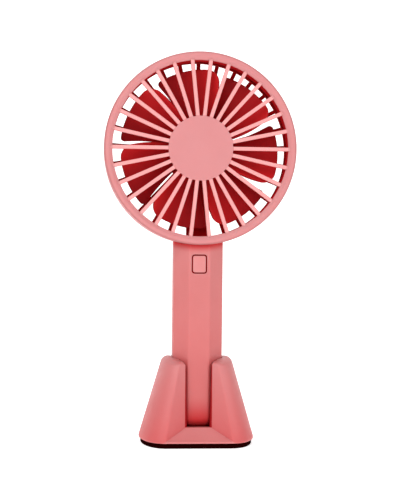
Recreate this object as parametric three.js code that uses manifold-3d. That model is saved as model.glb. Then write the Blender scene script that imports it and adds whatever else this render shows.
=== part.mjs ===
// A handheld electric fan standing in its socket stand, as an assembly of separate pieces.
// Millimetres, +Z up. The fan blows towards -Y. The origin is the middle of the stand's underside.
import * as THREE from "three";
import { mergeVertices } from "three/addons/utils/BufferGeometryUtils.js";
import Module from "manifold-3d";

const wasm = await Module();
wasm.setup();

// ---- Driving dimensions ----

const gap = 0.3; // between two pieces that meet
const snug = 0.1; // between two pieces that touch on flat faces
const runningFit = 0.06; // radial, shaft in a bush

const head = {
  radius: 46, // outside of the rim and the ring
  front: -14.5, // foremost face of the rim
  seam: -8.6, // where the grille's rim meets the ring
  back: 8.5, // rear face of the ring
  wall: 2.5, // ring's wall
  segments: 48,
};
const rim = { width: 4, edgeRound: 1.9, chamfer: 1.6, skirt: 3.4, bead: 0.25 };
const frontSpoke = { count: 30, width: 1.8, depth: 2.4, recess: 0.5, round: 0.5 };
const disc = { overHub: 0.6, thickness: 1.8 };
const rearSpoke = { count: 29, width: 1.5, depth: 2.6, rise: 1 };
const rearBand = { width: 1.6, front: 3.4, back: 7.1, lip: 1.2 };
const channel = { halfWidth: 5.1, wall: 1.2, floorFront: 3.6, notchHalf: 2 };
const cover = { overCup: 2.55, thickness: 1.2, back: 11.9, round: 1 };

const blade = {
  count: 7,
  tipGap: 3.7, // inside the rim
  thickness: 1.2,
  restAngle: 122.9, // degrees, leading edge of the first blade
  leadRoot: -5, // degrees from the rest angle, at the hub
  leadTip: 0.5,
  trailRoot: -54,
  trailTip: -45.5,
  leadCorner: 2.4,
  trailCorner: 5,
  leadY: 0.8,
  trailY: -10.2,
};
const hub = { overCup: 0.35, wall: 1, front: -10.8, back: -0.6, face: 1.2, bossRadius: 2.8, bossBack: -5 };

const motor = {
  radius: 12.1,
  wall: 0.8,
  front: -3,
  canBack: 8.2,
  back: 9.2,
  boss: 1.3,
  bossRadius: 3,
  shaftRadius: 1,
  bushRadius: 2,
  screwInset: 3.6, // from the can's outside to a screw's axis
  terminalInset: 4.9,
};
const cup = { room: 0.25, wall: 1.1, face: 1.1, back: 8, flange: 2.4 }; // plastic cup that holds the motor
const magnet = { thickness: 1.6, spread: 65, airGap: 0.4 };
const armature = {
  front: -0.8,
  back: 4,
  poles: 3,
  neck: 2.4,
  hubRadius: 3,
  shoe: 1.3,
  shoeSpread: 48,
  winding: 1,
  windingGap: 0.9,
};
const brushRing = { radius: 2.3, fromCore: 0.3, length: 2.1 };
const terminal = {
  front: 5.2,
  armBack: 6,
  back: 10,
  halfWidth: 0.2,
  armHalf: 0.6,
  halfHeight: 0.9,
  slotGap: 0.15,
};

const cell = { radius: 9.15, length: 64.3, nubRadius: 3, nub: 0.9, tab: 0.25, room: 1.05, under: 0.6 };
const foam = { halfWidth: 3, bottom: 18, top: 52 }; // strip between the cell and the rear shell
const handle = {
  aboveCell: 20.6, // for the board, the switch and the neck
  chamfer: 6.9,
  edgeRound: 1.6,
  wall: 1.7,
  bottomRound: 3.5,
  lip: 0.9,
};
const neck = { halfWidth: 5.4, front: -3, back: 8.6, drop: 4.8 };
const wireHole = { halfWidth: 1.4, front: 4.4, back: 7.2 };
const leadWire = { radius: 0.4, sides: 6 };

// Heights on the board are measured down from its top.
const board = { width: 17, height: 9.4, belowHead: 5, front: -0.8, back: 0.4 };
const button = {
  width: 6.2,
  height: 8,
  cornerRadius: 1,
  edge: 0.3,
  proud: 0.3,
  down: 4.2,
  flange: 0.7,
  flangeDepth: 0.8,
  stemRadius: 1.6,
};
const boardSwitch = { size: 6, height: 3.5, plungerRadius: 1.7, plungerLength: 3.25, sink: 1.15 };
const port = { width: 7.6, height: 2.7, wall: 0.3, down: 5.2, recess: 0.9, floor: 1.2 };
const portTongue = { halfWidth: 2.3, halfHeight: 0.35, sink: 1.4 };
const pipe = { radius: 0.9, x: 3.6, down: 2 };
const led = { halfWidth: 0.8, halfHeight: 0.4, depth: 0.65 };
const chip = { size: 4, x: -6.2, width: 3.6, down: 3, height: 1.25 };
const boardPost = { x: 6.8, down: 7.8, radius: 1.6, screwDepth: 4 };
const shellBoss = { radius: 2, padRadius: 1.9, root: 0.6, pilotWall: 2.6 }; // root: within the shell's wall

const screw = { shankRadius: 0.85, headRadius: 1.8, headHeight: 1.2, pilot: 0.1, clearance: 0.3 };
const handleScrew = { tip: -6.4, sink: 1.5 };
const neckScrew = { x: 3.2, belowHead: 2.4 };
const lowerScrew = { aboveCell: 3.6, recess: 2.8 };

const stand = {
  bottom: 2.5, // top of the pad
  skirt: 0.8,
  top: 41.5,
  sideMargin: 4.35, // from the socket to the outside at the top
  frontMargin: 3.15,
  sideFlare: 11.2, // from the top's outside to the bottom's
  frontFlare: 6.6,
  ridgeMargin: 2.8, // from the slot to a front ridge at the top
  ridgeFlare: 7.2,
  lipTop: 9,
  valleyAtLip: 2.95, // from the socket to the front at the slot's edge
  valleyAtTop: 1.45,
  slotMargin: 1, // each side of the handle's front facet
  floorThickness: 1.7,
  seat: 8.3, // top of the socket's floor
  wall: 2,
  socketWall: 1.6,
  hollowTop: 36,
  topRound: 1,
  reach: 30, // past its front and back, for the slot's cut
};
const socketClearance = 0.35;
const pad = { thickness: 2.4, inset: 0.9, edgeRound: 0.4 };
const basePlate = { bottom: 2.6, top: 4, inset: 2.3 };
const ballast = { bottom: 4.3, top: 6.2, inset: 3.4 };
const standScrew = { fromSocket: 2.25, fromFront: 5.9, bossRadius: 2.4, headHeight: 0.9, length: 7 };

const smallCircle = 12; // sides of a screw or a small hole
const motorCircle = 36; // sides of the motor and the hub
const shaftCircle = 16; // sides of the shaft and its bushes

// ---- Sizes worked out from them ----

const ringInner = head.radius - head.wall;
const rimInner = head.radius - rim.width;
const bandInner = ringInner - rearBand.width;
const bladeTip = rimInner - blade.tipGap;
const spokeFront = head.front + frontSpoke.recess;
const spokeBack = spokeFront + frontSpoke.depth;

const cupInner = motor.radius + cup.room;
const cupOuter = cupInner + cup.wall;
const cupFront = motor.front - snug - cup.face;
const coverRadius = cupOuter + cover.overCup;
const hubRadius = cupOuter + hub.overCup + hub.wall;
const discRadius = hubRadius + disc.overHub;
const motorScrewX = motor.radius - motor.screwInset;
const terminalX = motor.radius - motor.terminalInset;
const magnetOuter = motor.radius - motor.wall - snug;
const magnetInner = magnetOuter - magnet.thickness;
const armatureRadius = magnetInner - magnet.airGap;

const cellBottom = handle.wall + cell.under;
const cellTop = cellBottom + cell.length;
const handleLength = cellTop + handle.aboveCell; // to the lowest point of the head
const halfDepth = cell.radius + cell.room + handle.wall; // of the handle's octagon
const inside = halfDepth - handle.wall;
const facetHalf = halfDepth - handle.chamfer;
const headAxis = handleLength + head.radius;
const handleTop = headAxis - 0.87 * head.radius; // above the saddle that the head's ring rests in

const boardTop = handleLength - board.belowHead;
const boardBottom = boardTop - board.height;
const buttonHeight = boardTop - button.down;
const portHeight = boardTop - port.down;
const pipeHeight = boardTop - pipe.down;
const boardPosts = [-1, 1].map((side) => ({ x: side * boardPost.x, above: boardTop - boardPost.down }));
const handleScrews = [
  { x: -neckScrew.x, above: handleLength - neckScrew.belowHead },
  { x: neckScrew.x, above: handleLength - neckScrew.belowHead },
  { x: 0, above: cellTop + lowerScrew.aboveCell },
];
const socketHalf = halfDepth + socketClearance;
const slotHalf = facetHalf + stand.slotMargin;
const standTop = {
  halfWidth: socketHalf + stand.sideMargin,
  halfDepth: socketHalf + stand.frontMargin,
  ridge: slotHalf + stand.ridgeMargin,
};
const standBottom = {
  halfWidth: standTop.halfWidth + stand.sideFlare,
  halfDepth: standTop.halfDepth + stand.frontFlare,
  ridge: standTop.ridge + stand.ridgeFlare,
};
const standScrews = [-1, 1].flatMap((sideY) =>
  [-1, 1].map((sideX) => ({
    x: sideX * (socketHalf + standScrew.fromSocket),
    y: sideY * (standTop.halfDepth - standScrew.fromFront),
  })),
);

// ---- Materials ----

const finishes = {
  shellPink: { color: 0xe27f80, roughness: 0.5, metalness: 0 },
  grillePink: { color: 0xf2a09f, roughness: 0.45, metalness: 0 },
  bladeRed: { color: 0xc4282c, roughness: 0.4, metalness: 0 },
  ductRed: { color: 0xb42a2c, roughness: 0.5, metalness: 0 },
  padBlack: { color: 0x1c0a0a, roughness: 0.85, metalness: 0 },
  steel: { color: 0xb9bcc0, roughness: 0.35, metalness: 1 },
  motorSteel: { color: 0xa7abb0, roughness: 0.3, metalness: 1 },
  copper: { color: 0xb8683a, roughness: 0.35, metalness: 1 },
  bronze: { color: 0xa3773c, roughness: 0.45, metalness: 1 },
  nickel: { color: 0xc9c6bd, roughness: 0.3, metalness: 1 },
  magnet: { color: 0x3a3b3f, roughness: 0.7, metalness: 0.2 },
  blackPlastic: { color: 0x1b1c1f, roughness: 0.5, metalness: 0 },
  whitePlastic: { color: 0xe9e6df, roughness: 0.5, metalness: 0 },
  boardGreen: { color: 0x1f6b3c, roughness: 0.45, metalness: 0 },
  wrapBlue: { color: 0x2f6fb5, roughness: 0.35, metalness: 0 },
  wireRed: { color: 0xc01f22, roughness: 0.5, metalness: 0 },
  wireBlack: { color: 0x161617, roughness: 0.5, metalness: 0 },
  foamGrey: { color: 0x5b5d60, roughness: 0.95, metalness: 0 },
  clear: { color: 0xf4f4f0, roughness: 0.15, metalness: 0 },
};

// ---- Making and joining solids ----

// A closed geometry as a manifold-3d solid with its faces pointing out.
function solid(geometry) {
  const bare = new THREE.BufferGeometry();
  bare.setAttribute("position", geometry.getAttribute("position").clone());
  if (geometry.index) bare.setIndex(geometry.index.clone());
  const merged = mergeVertices(bare, 1e-4);
  const corners = merged.index.array;
  const kept = [];
  for (let i = 0; i < corners.length; i += 3) {
    const [a, b, c] = [corners[i], corners[i + 1], corners[i + 2]];
    if (a !== b && b !== c && c !== a) kept.push(a, b, c);
  }
  const build = (triVerts) =>
    new wasm.Manifold(
      new wasm.Mesh({
        numProp: 3,
        vertProperties: merged.attributes.position.array,
        triVerts: new Uint32Array(triVerts),
      }),
    );
  const made = build(kept);
  if (made.volume() >= 0) return made;
  return build(kept.reverse());
}

function join(...solids) {
  return solids.reduce((all, next) => all.add(next));
}

function cut(body, ...tools) {
  return tools.reduce((left, tool) => left.subtract(tool), body);
}

function box(x0, x1, y0, y1, z0, z1) {
  const geometry = new THREE.BoxGeometry(x1 - x0, y1 - y0, z1 - z0);
  return solid(geometry.translate((x0 + x1) / 2, (y0 + y1) / 2, (z0 + z1) / 2));
}

// A round bar along Y from y0 to y1, at x and z.
function barY(radius, y0, y1, x = 0, z = 0, sides = smallCircle) {
  const geometry = new THREE.CylinderGeometry(radius, radius, y1 - y0, sides);
  return solid(geometry.translate(x, (y0 + y1) / 2, z));
}

// A round bar along Z from z0 to z1, at x and y.
function barZ(radius, z0, z1, x = 0, y = 0, sides = smallCircle) {
  const geometry = new THREE.CylinderGeometry(radius, radius, z1 - z0, sides);
  return solid(geometry.rotateX(Math.PI / 2).translate(x, y, (z0 + z1) / 2));
}

// A [radius, y] profile turned about the Y axis. It closes on itself or starts and ends on the axis.
function turned(profile, segments) {
  const onAxis = profile[0][0] === 0;
  const points = (onAxis ? profile : [...profile, profile[0]]).map(([r, y]) => new THREE.Vector2(r, y));
  return solid(new THREE.LatheGeometry(points, segments));
}

// An outline of [x, z] points carried along Y from y0 to y1.
function plateY(points, y0, y1) {
  const shape = new THREE.Shape(points.map(([x, z]) => new THREE.Vector2(x, z)));
  const geometry = new THREE.ExtrudeGeometry(shape, { depth: y1 - y0, bevelEnabled: false });
  return solid(geometry.rotateX(Math.PI / 2).translate(0, y1, 0));
}

// An outline of Vector2 points carried up Z from z0 to z1.
function plateZ(outline, z0, z1) {
  const shape = new THREE.Shape(outline);
  const geometry = new THREE.ExtrudeGeometry(shape, { depth: z1 - z0, bevelEnabled: false });
  return solid(geometry.translate(0, 0, z0));
}

// A skin over outlines of Vector2 points, one at each height, closed at both ends.
function lofted(levels) {
  const count = levels[0].outline.length;
  const positions = levels.flatMap(({ outline, z }) => outline.flatMap((p) => [p.x, p.y, z]));
  const index = [];
  for (let level = 0; level < levels.length - 1; level++) {
    for (let i = 0; i < count; i++) {
      const a = level * count + i;
      const b = level * count + ((i + 1) % count);
      index.push(a, b, b + count, a, b + count, a + count);
    }
  }
  const last = (levels.length - 1) * count;
  for (const [a, b, c] of THREE.ShapeUtils.triangulateShape(levels[0].outline, [])) index.push(c, b, a);
  for (const [a, b, c] of THREE.ShapeUtils.triangulateShape(levels.at(-1).outline, []))
    index.push(last + a, last + b, last + c);
  const geometry = new THREE.BufferGeometry();
  geometry.setAttribute("position", new THREE.Float32BufferAttribute(positions, 3));
  geometry.setIndex(index);
  return solid(geometry);
}

// A wire of the lead's size through the points.
function wire(points, steps) {
  const path = new THREE.CatmullRomCurve3(
    points.map((p) => new THREE.Vector3(...p)),
    false,
    "centripetal",
  );
  const section = new THREE.Shape();
  for (let i = 0; i < leadWire.sides; i++) {
    const turn = (i / leadWire.sides) * 2 * Math.PI;
    const [x, y] = [leadWire.radius * Math.cos(turn), leadWire.radius * Math.sin(turn)];
    if (i === 0) section.moveTo(x, y);
    else section.lineTo(x, y);
  }
  return solid(new THREE.ExtrudeGeometry(section, { steps, extrudePath: path }));
}

// Points of an arc, between two angles in degrees.
function arcPoints(radius, from, to, steps) {
  return Array.from({ length: steps + 1 }, (_, i) => {
    const turn = THREE.MathUtils.degToRad(from + ((to - from) * i) / steps);
    return [radius * Math.cos(turn), radius * Math.sin(turn)];
  });
}

// The solid turned about the Y axis by an angle in degrees, anticlockwise as seen from the front.
function spunY(body, degrees) {
  return body.rotate([0, -degrees, 0]);
}

function addPiece(group, name, finish, body) {
  const found = body.getMesh();
  const geometry = new THREE.BufferGeometry();
  geometry.setAttribute("position", new THREE.BufferAttribute(new Float32Array(found.vertProperties), 3));
  geometry.setIndex(new THREE.BufferAttribute(new Uint32Array(found.triVerts), 1));
  geometry.computeVertexNormals();
  const mesh = new THREE.Mesh(geometry, new THREE.MeshStandardMaterial(finishes[finish]));
  mesh.name = name;
  group.add(mesh);
}

// ---- Head: grilles, ring and rear cover, about the Y axis ----

function frontGrille() {
  const skirtOuter = ringInner - gap;
  const skirtBack = head.seam + rim.skirt;
  const crest = rimInner + rim.chamfer;
  const rimBody = turned(
    [
      [head.radius, head.seam],
      [head.radius, head.front + rim.edgeRound],
      [head.radius - 0.3 * rim.edgeRound, head.front + 0.4 * rim.edgeRound],
      [head.radius - rim.edgeRound, head.front],
      [crest, head.front],
      [rimInner, head.front + rim.chamfer],
      [rimInner, skirtBack],
      [skirtOuter, skirtBack],
      [skirtOuter + rim.bead, skirtBack - 0.7],
      [skirtOuter, skirtBack - 1.4],
      [skirtOuter, head.seam],
    ],
    head.segments,
  );
  const discBody = turned(
    [
      [0, spokeFront],
      [discRadius - frontSpoke.round, spokeFront],
      [discRadius, spokeFront + frontSpoke.round],
      [discRadius, spokeFront + disc.thickness],
      [0, spokeFront + disc.thickness],
    ],
    head.segments,
  );
  const half = frontSpoke.width / 2;
  const section = new THREE.Shape([
    new THREE.Vector2(-half, spokeBack),
    new THREE.Vector2(-half, spokeFront + frontSpoke.round),
    new THREE.Vector2(-half + frontSpoke.round, spokeFront),
    new THREE.Vector2(half - frontSpoke.round, spokeFront),
    new THREE.Vector2(half, spokeFront + frontSpoke.round),
    new THREE.Vector2(half, spokeBack),
  ]);
  const inner = discRadius - 1;
  const outer = rimInner + 0.8;
  const alongSpoke = new THREE.ExtrudeGeometry(section, { depth: outer - inner, bevelEnabled: false });
  const oneSpoke = solid(alongSpoke.translate(0, 0, inner));
  const pitch = 360 / frontSpoke.count;
  const spokes = Array.from({ length: frontSpoke.count }, (_, i) => spunY(oneSpoke, pitch * i - 90));
  return join(rimBody, discBody, ...spokes);
}

function headRing() {
  const beadMiddle = head.seam + rim.skirt - 0.7;
  const lipInner = bandInner + 0.4;
  const lipFront = head.back - rearBand.lip;
  const ring = turned(
    [
      [head.radius, head.seam + gap],
      [head.radius, head.back - 1.5],
      [head.radius - 0.45, head.back - 0.45],
      [head.radius - 1.5, head.back],
      [lipInner, head.back],
      [lipInner, lipFront],
      [ringInner, lipFront],
      [ringInner, beadMiddle + 0.9],
      [ringInner + rim.bead + 0.1, beadMiddle + 0.4],
      [ringInner + rim.bead + 0.1, beadMiddle - 0.4],
      [ringInner, beadMiddle - 0.9],
      [ringInner, head.seam + gap],
    ],
    head.segments,
  );
  const tongueBottom = -head.radius - neck.drop;
  const tongue = cut(
    box(-neck.halfWidth, neck.halfWidth, neck.front, neck.back, tongueBottom, -ringInner),
    barY(ringInner + 0.1, neck.front - 1, neck.back + 1, 0, 0, head.segments),
    box(-neck.halfWidth - 1, neck.halfWidth + 1, head.back - 0.1, neck.back + 1, -head.radius + 0.1, 0),
  );
  const screwHoles = handleScrews
    .slice(0, 2)
    .map(({ x, above }) =>
      barY(screw.shankRadius + screw.clearance, neck.front - 1, neck.back + 1, x, above - headAxis),
    );
  const passage = box(
    -wireHole.halfWidth,
    wireHole.halfWidth,
    wireHole.front,
    wireHole.back,
    tongueBottom - 1,
    -ringInner + 2,
  );
  return cut(ring.add(tongue), ...screwHoles, passage);
}

function rearGrille() {
  const bandOuter = ringInner - gap;
  const band = turned(
    [
      [bandInner, rearBand.front],
      [bandOuter, rearBand.front],
      [bandOuter, rearBand.back],
      [bandInner, rearBand.back],
    ],
    head.segments,
  );
  const flange = coverRadius + 0.2;
  const motorCup = turned(
    [
      [motor.bossRadius + 0.2, cupFront],
      [cupOuter, cupFront],
      [cupOuter, cup.back - cup.flange],
      [flange, cup.back - cup.flange],
      [flange, cup.back],
      [cupInner, cup.back],
      [cupInner, motor.front - snug],
      [motor.bossRadius + 0.2, motor.front - snug],
    ],
    head.segments,
  );
  const spokeInner = flange - 0.6;
  const spokeOuter = bandInner + 0.5;
  const frontOuter = rearBand.back - rearSpoke.depth;
  const profile = new THREE.Shape([
    new THREE.Vector2(spokeInner, frontOuter + rearSpoke.rise),
    new THREE.Vector2(spokeOuter, frontOuter),
    new THREE.Vector2(spokeOuter, rearBand.back),
    new THREE.Vector2(spokeInner, rearBand.back + rearSpoke.rise - 0.1),
  ]);
  const oneSpoke = solid(
    new THREE.ExtrudeGeometry(profile, { depth: rearSpoke.width, bevelEnabled: false }).translate(
      0,
      0,
      -rearSpoke.width / 2,
    ),
  );
  const pitch = 360 / rearSpoke.count;
  const spokes = [];
  for (let i = 0; i < rearSpoke.count; i++) {
    const angle = 90 + pitch * i;
    const besideChannel = Math.abs(angle - 270) < pitch;
    if (!besideChannel) spokes.push(spunY(oneSpoke, angle));
  }
  const trayTop = -cupInner - 0.6;
  const trayEnd = -Math.sqrt(bandInner ** 2 - channel.halfWidth ** 2) - 0.5;
  const tray = cut(
    box(-channel.halfWidth, channel.halfWidth, channel.floorFront, cup.back, trayEnd, trayTop),
    box(
      -channel.halfWidth + channel.wall,
      channel.halfWidth - channel.wall,
      channel.floorFront + channel.wall,
      cup.back + 1,
      trayEnd - 2,
      trayTop + 1,
    ),
    box(
      -channel.halfWidth - 1,
      channel.halfWidth + 1,
      rearBand.back,
      cup.back + 1,
      trayEnd - 2,
      -bandInner + 1,
    ),
  );
  const leadNotch = box(
    -channel.notchHalf,
    channel.notchHalf,
    channel.floorFront + channel.wall,
    cup.back + 1,
    -bandOuter - 1,
    -cupInner + 0.2,
  );
  const screwHoles = [-1, 1].map((side) =>
    barY(screw.shankRadius + screw.clearance, cupFront - 1, motor.front, side * motorScrewX, 0),
  );
  return cut(join(band, motorCup, tray, ...spokes), leadNotch, ...screwHoles);
}

function rearCover() {
  const front = cup.back + gap;
  const inside = cover.back - cover.thickness;
  const cap = turned(
    [
      [0, cover.back],
      [coverRadius - 2 * cover.round, cover.back],
      [coverRadius - 0.6 * cover.round, cover.back - 0.3 * cover.round],
      [coverRadius, cover.back - cover.round],
      [coverRadius, front],
      [coverRadius - cover.thickness, front],
      [coverRadius - cover.thickness, inside],
      [0, inside],
    ],
    head.segments / 2,
  );
  const tailEnd = -Math.sqrt(bandInner ** 2 - channel.halfWidth ** 2) + 0.2;
  const tail = cut(
    box(-channel.halfWidth, channel.halfWidth, front, front + cover.thickness, tailEnd, -coverRadius + 2),
    barY(coverRadius - cover.thickness, front - 1, front + 2, 0, 0, head.segments / 2),
  );
  return cap.add(tail);
}

// ---- Impeller ----

function bladeEdge(root, tip, share, bend) {
  return root + (tip - root) * share ** bend;
}

// A point of the blade's middle surface: u runs from the leading to the trailing edge, v from hub to tip.
function bladePoint(u, v) {
  const rootRadius = hubRadius - 0.5;
  const tipArc = THREE.MathUtils.degToRad(blade.leadTip - blade.trailTip) * bladeTip;
  const cornerLoss = (distance, radius) =>
    distance >= radius ? 0 : radius - Math.sqrt(radius ** 2 - (radius - distance) ** 2);
  const loss = cornerLoss(u * tipArc, blade.leadCorner) + cornerLoss((1 - u) * tipArc, blade.trailCorner);
  const radius = rootRadius + v * (bladeTip - loss - rootRadius);
  const share = (radius - rootRadius) / (bladeTip - rootRadius);
  const lead = bladeEdge(blade.leadRoot, blade.leadTip, share, 1.3);
  const trail = bladeEdge(blade.trailRoot, blade.trailTip, share, 1.5);
  const angle = THREE.MathUtils.degToRad(blade.restAngle + lead + u * (trail - lead));
  const y = blade.leadY + (blade.trailY - blade.leadY) * u ** 1.2 - 0.6 * (1 - share) * (1 - u);
  return new THREE.Vector3(radius * Math.cos(angle), y, radius * Math.sin(angle));
}

function bladeNormal(u, v) {
  const step = 0.01;
  const along = bladePoint(Math.min(u + step, 1), v).sub(bladePoint(Math.max(u - step, 0), v));
  const out = bladePoint(u, Math.min(v + step, 1)).sub(bladePoint(u, Math.max(v - step, 0)));
  return along.cross(out).normalize();
}

function bladeSolid() {
  const us = [0, 0.06, 0.25, 0.5, 0.75, 0.88, 0.96, 1];
  const vs = [0, 0.25, 0.5, 0.75, 1];
  const positions = [];
  for (const side of [-0.5, 0.5]) {
    for (const v of vs) {
      for (const u of us) {
        const offset = bladeNormal(u, v).multiplyScalar(side * blade.thickness);
        if (v === 0) offset.set(0, offset.y, 0); // the root stays on the hub's wall
        positions.push(...bladePoint(u, v).add(offset).toArray());
      }
    }
  }
  const layer = us.length * vs.length;
  const index = [];
  const quad = (a, b, c, d) => index.push(a, b, c, a, c, d);
  for (let j = 0; j < vs.length - 1; j++) {
    for (let i = 0; i < us.length - 1; i++) {
      const a = j * us.length + i;
      quad(a, a + 1, a + us.length + 1, a + us.length);
      quad(layer + a, layer + a + us.length, layer + a + us.length + 1, layer + a + 1);
    }
  }
  const border = [];
  for (let i = 0; i < us.length - 1; i++) border.push(i);
  for (let j = 0; j < vs.length - 1; j++) border.push(j * us.length + us.length - 1);
  for (let i = us.length - 1; i > 0; i--) border.push((vs.length - 1) * us.length + i);
  for (let j = vs.length - 1; j > 0; j--) border.push(j * us.length);
  border.forEach((a, i) => {
    const b = border[(i + 1) % border.length];
    quad(b, a, layer + a, layer + b);
  });
  const geometry = new THREE.BufferGeometry();
  geometry.setAttribute("position", new THREE.Float32BufferAttribute(positions, 3));
  geometry.setIndex(index);
  return solid(geometry);
}

function impeller() {
  const bore = motor.shaftRadius + runningFit;
  const hubInner = hubRadius - hub.wall;
  const hubBody = turned(
    [
      [bore, hub.front],
      [hubRadius - 0.6, hub.front],
      [hubRadius, hub.front + 0.6],
      [hubRadius, hub.back],
      [hubInner, hub.back],
      [hubInner, hub.front + hub.face],
      [hub.bossRadius, hub.front + hub.face],
      [hub.bossRadius, hub.bossBack],
      [bore, hub.bossBack],
    ],
    motorCircle,
  );
  const one = bladeSolid();
  const blades = [];
  for (let i = 0; i < blade.count; i++) blades.push(spunY(one, (-360 / blade.count) * i));
  return join(hubBody, ...blades);
}

// ---- Motor ----

function motorCan() {
  const inner = motor.radius - motor.wall;
  const can = turned(
    [
      [motor.bushRadius + 0.05, motor.front - motor.boss],
      [motor.bossRadius, motor.front - motor.boss],
      [motor.bossRadius, motor.front],
      [motor.radius, motor.front],
      [motor.radius, motor.canBack],
      [inner, motor.canBack],
      [inner, motor.front + motor.wall],
      [motor.bushRadius + 0.05, motor.front + motor.wall],
    ],
    motorCircle,
  );
  const holes = [-1, 1].map((side) =>
    barY(
      screw.shankRadius + screw.pilot,
      motor.front - 1,
      motor.front + motor.wall + 1,
      side * motorScrewX,
      0,
    ),
  );
  return cut(can, ...holes);
}

function motorEndCap() {
  const inner = motor.radius - motor.wall - snug;
  const body = turned(
    [
      [motor.bushRadius + 0.05, motor.canBack - 1.6],
      [motor.bushRadius + 1.2, motor.canBack - 1.6],
      [motor.bushRadius + 1.2, motor.canBack - 0.6],
      [inner, motor.canBack - 0.6],
      [inner, motor.canBack + 0.05],
      [motor.radius, motor.canBack + 0.05],
      [motor.radius, motor.back],
      [motor.bushRadius + 0.05, motor.back],
    ],
    motorCircle,
  );
  const slots = [-1, 1].map((side) => {
    const x = side * terminalX;
    const [halfX, halfZ] = [terminal.halfWidth + terminal.slotGap, terminal.halfHeight + 0.2];
    return box(x - halfX, x + halfX, 0, motor.back + 1, -halfZ, halfZ);
  });
  return cut(body, ...slots);
}

function motorBush(front, back) {
  const bore = motor.shaftRadius + runningFit;
  return turned(
    [
      [bore, front],
      [motor.bushRadius, front],
      [motor.bushRadius, back],
      [bore, back],
    ],
    shaftCircle,
  );
}

function motorMagnet(middleAngle) {
  const steps = 8;
  const [from, to] = [middleAngle - magnet.spread, middleAngle + magnet.spread];
  const points = [...arcPoints(magnetOuter, from, to, steps), ...arcPoints(magnetInner, to, from, steps)];
  return plateY(points, motor.front + motor.wall + 0.4, motor.canBack - 1);
}

function motorShaft() {
  return barY(motor.shaftRadius, hub.front + 0.2, motor.back - 0.2, 0, 0, shaftCircle);
}

function motorTerminal(side) {
  const { front, armBack, back, halfWidth, armHalf, halfHeight } = terminal;
  const x = side * terminalX;
  const near = side * (armature.hubRadius - 0.3);
  const arm = box(Math.min(x, near), Math.max(x, near), front, armBack, -armHalf, armHalf);
  return join(arm, box(x - halfWidth, x + halfWidth, front, back, -halfHeight, halfHeight));
}

function armaturePole(index) {
  const { front, back, neck: width, shoe, shoeSpread } = armature;
  const steps = 6;
  const stem = box(0, armatureRadius - 1, front, back, -width / 2, width / 2);
  const face = [
    ...arcPoints(armatureRadius, -shoeSpread, shoeSpread, steps),
    ...arcPoints(armatureRadius - shoe, shoeSpread, -shoeSpread, steps),
  ];
  return spunY(stem.add(plateY(face, front, back)), 90 + (360 / armature.poles) * index);
}

function armatureCore() {
  const centre = barY(armature.hubRadius, armature.front, armature.back, 0, 0, shaftCircle);
  const boreRadius = motor.shaftRadius + runningFit;
  const bore = barY(boreRadius, armature.front - 1, armature.back + 1, 0, 0, shaftCircle);
  const poles = Array.from({ length: armature.poles }, (_, index) => armaturePole(index));
  return cut(join(centre, ...poles), bore);
}

function armatureCoil(index) {
  const half = armature.neck / 2 + snug;
  const thick = armature.winding;
  const near = armature.hubRadius + 0.6;
  const far = armatureRadius - armature.shoe - armature.windingGap;
  const winding = cut(
    box(near, far, armature.front - thick, armature.back + thick, -half - thick, half + thick),
    box(near - 1, far + 1, armature.front - snug, armature.back + snug, -half, half),
  );
  return spunY(winding, 90 + (360 / armature.poles) * index);
}

function commutator() {
  const bore = motor.shaftRadius + runningFit;
  const front = armature.back + brushRing.fromCore;
  return turned(
    [
      [bore, front],
      [brushRing.radius, front],
      [brushRing.radius, front + brushRing.length],
      [bore, front + brushRing.length],
    ],
    shaftCircle,
  );
}

// A screw along Y with its head at the back. tip and underHead are Y values.
function screwY(x, z, tip, underHead) {
  const shank = barY(screw.shankRadius, tip, underHead + 0.1, x, z);
  return shank.add(barY(screw.headRadius, underHead, underHead + screw.headHeight, x, z));
}

// The same with its head at the front.
function screwFrontY(x, z, tip, underHead) {
  const shank = barY(screw.shankRadius, underHead - 0.1, tip, x, z);
  return shank.add(barY(screw.headRadius, underHead - screw.headHeight, underHead, x, z));
}

// ---- Handle: an octagonal clamshell with its bottom at z = 0 ----

// The handle's octagon, grown or shrunk by an inset, with rounded corners.
function octagon(inset, cornerSteps = 3) {
  const half = halfDepth - inset;
  const flat = half - (handle.chamfer - (2 - Math.SQRT2) * inset);
  const corners = [
    [flat, -half],
    [half, -flat],
    [half, flat],
    [flat, half],
    [-flat, half],
    [-half, flat],
    [-half, -flat],
    [-flat, -half],
  ].map(([x, y]) => new THREE.Vector2(x, y));
  const setBack = Math.max(handle.edgeRound - inset, 0.3) * Math.tan(Math.PI / 8);
  const outline = [];
  corners.forEach((corner, i) => {
    const before = corners[(i + 7) % 8].clone().sub(corner).normalize();
    const after = corners[(i + 1) % 8].clone().sub(corner).normalize();
    const bend = new THREE.QuadraticBezierCurve(
      corner.clone().addScaledVector(before, setBack),
      corner,
      corner.clone().addScaledVector(after, setBack),
    );
    outline.push(...bend.getPoints(cornerSteps));
  });
  return outline;
}

function handleBody() {
  const levels = [];
  const steps = 4;
  for (let i = 0; i <= steps; i++) {
    const turn = (i / steps) * (Math.PI / 2);
    levels.push({
      z: handle.bottomRound * (1 - Math.cos(turn)),
      outline: octagon(handle.bottomRound * (1 - Math.sin(turn))),
    });
  }
  levels.push({ z: handleTop, outline: octagon(0) });
  const saddle = barY(head.radius + gap, -20, 20, 0, headAxis, head.segments * 2);
  return cut(lofted(levels), saddle);
}

function handleHollow() {
  return plateZ(octagon(handle.wall, 2), handle.wall, handleTop + 1);
}

// The step along the joint: part of the front shell's wall that reaches into the rear shell.
function jointLip(outerInset, depth) {
  const outer = plateZ(octagon(outerInset, 2), outerInset, handleTop + 1);
  const band = box(-20, 20, -0.3, depth, -1, handleTop - 8);
  return outer.subtract(handleHollow()).intersect(band);
}

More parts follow.
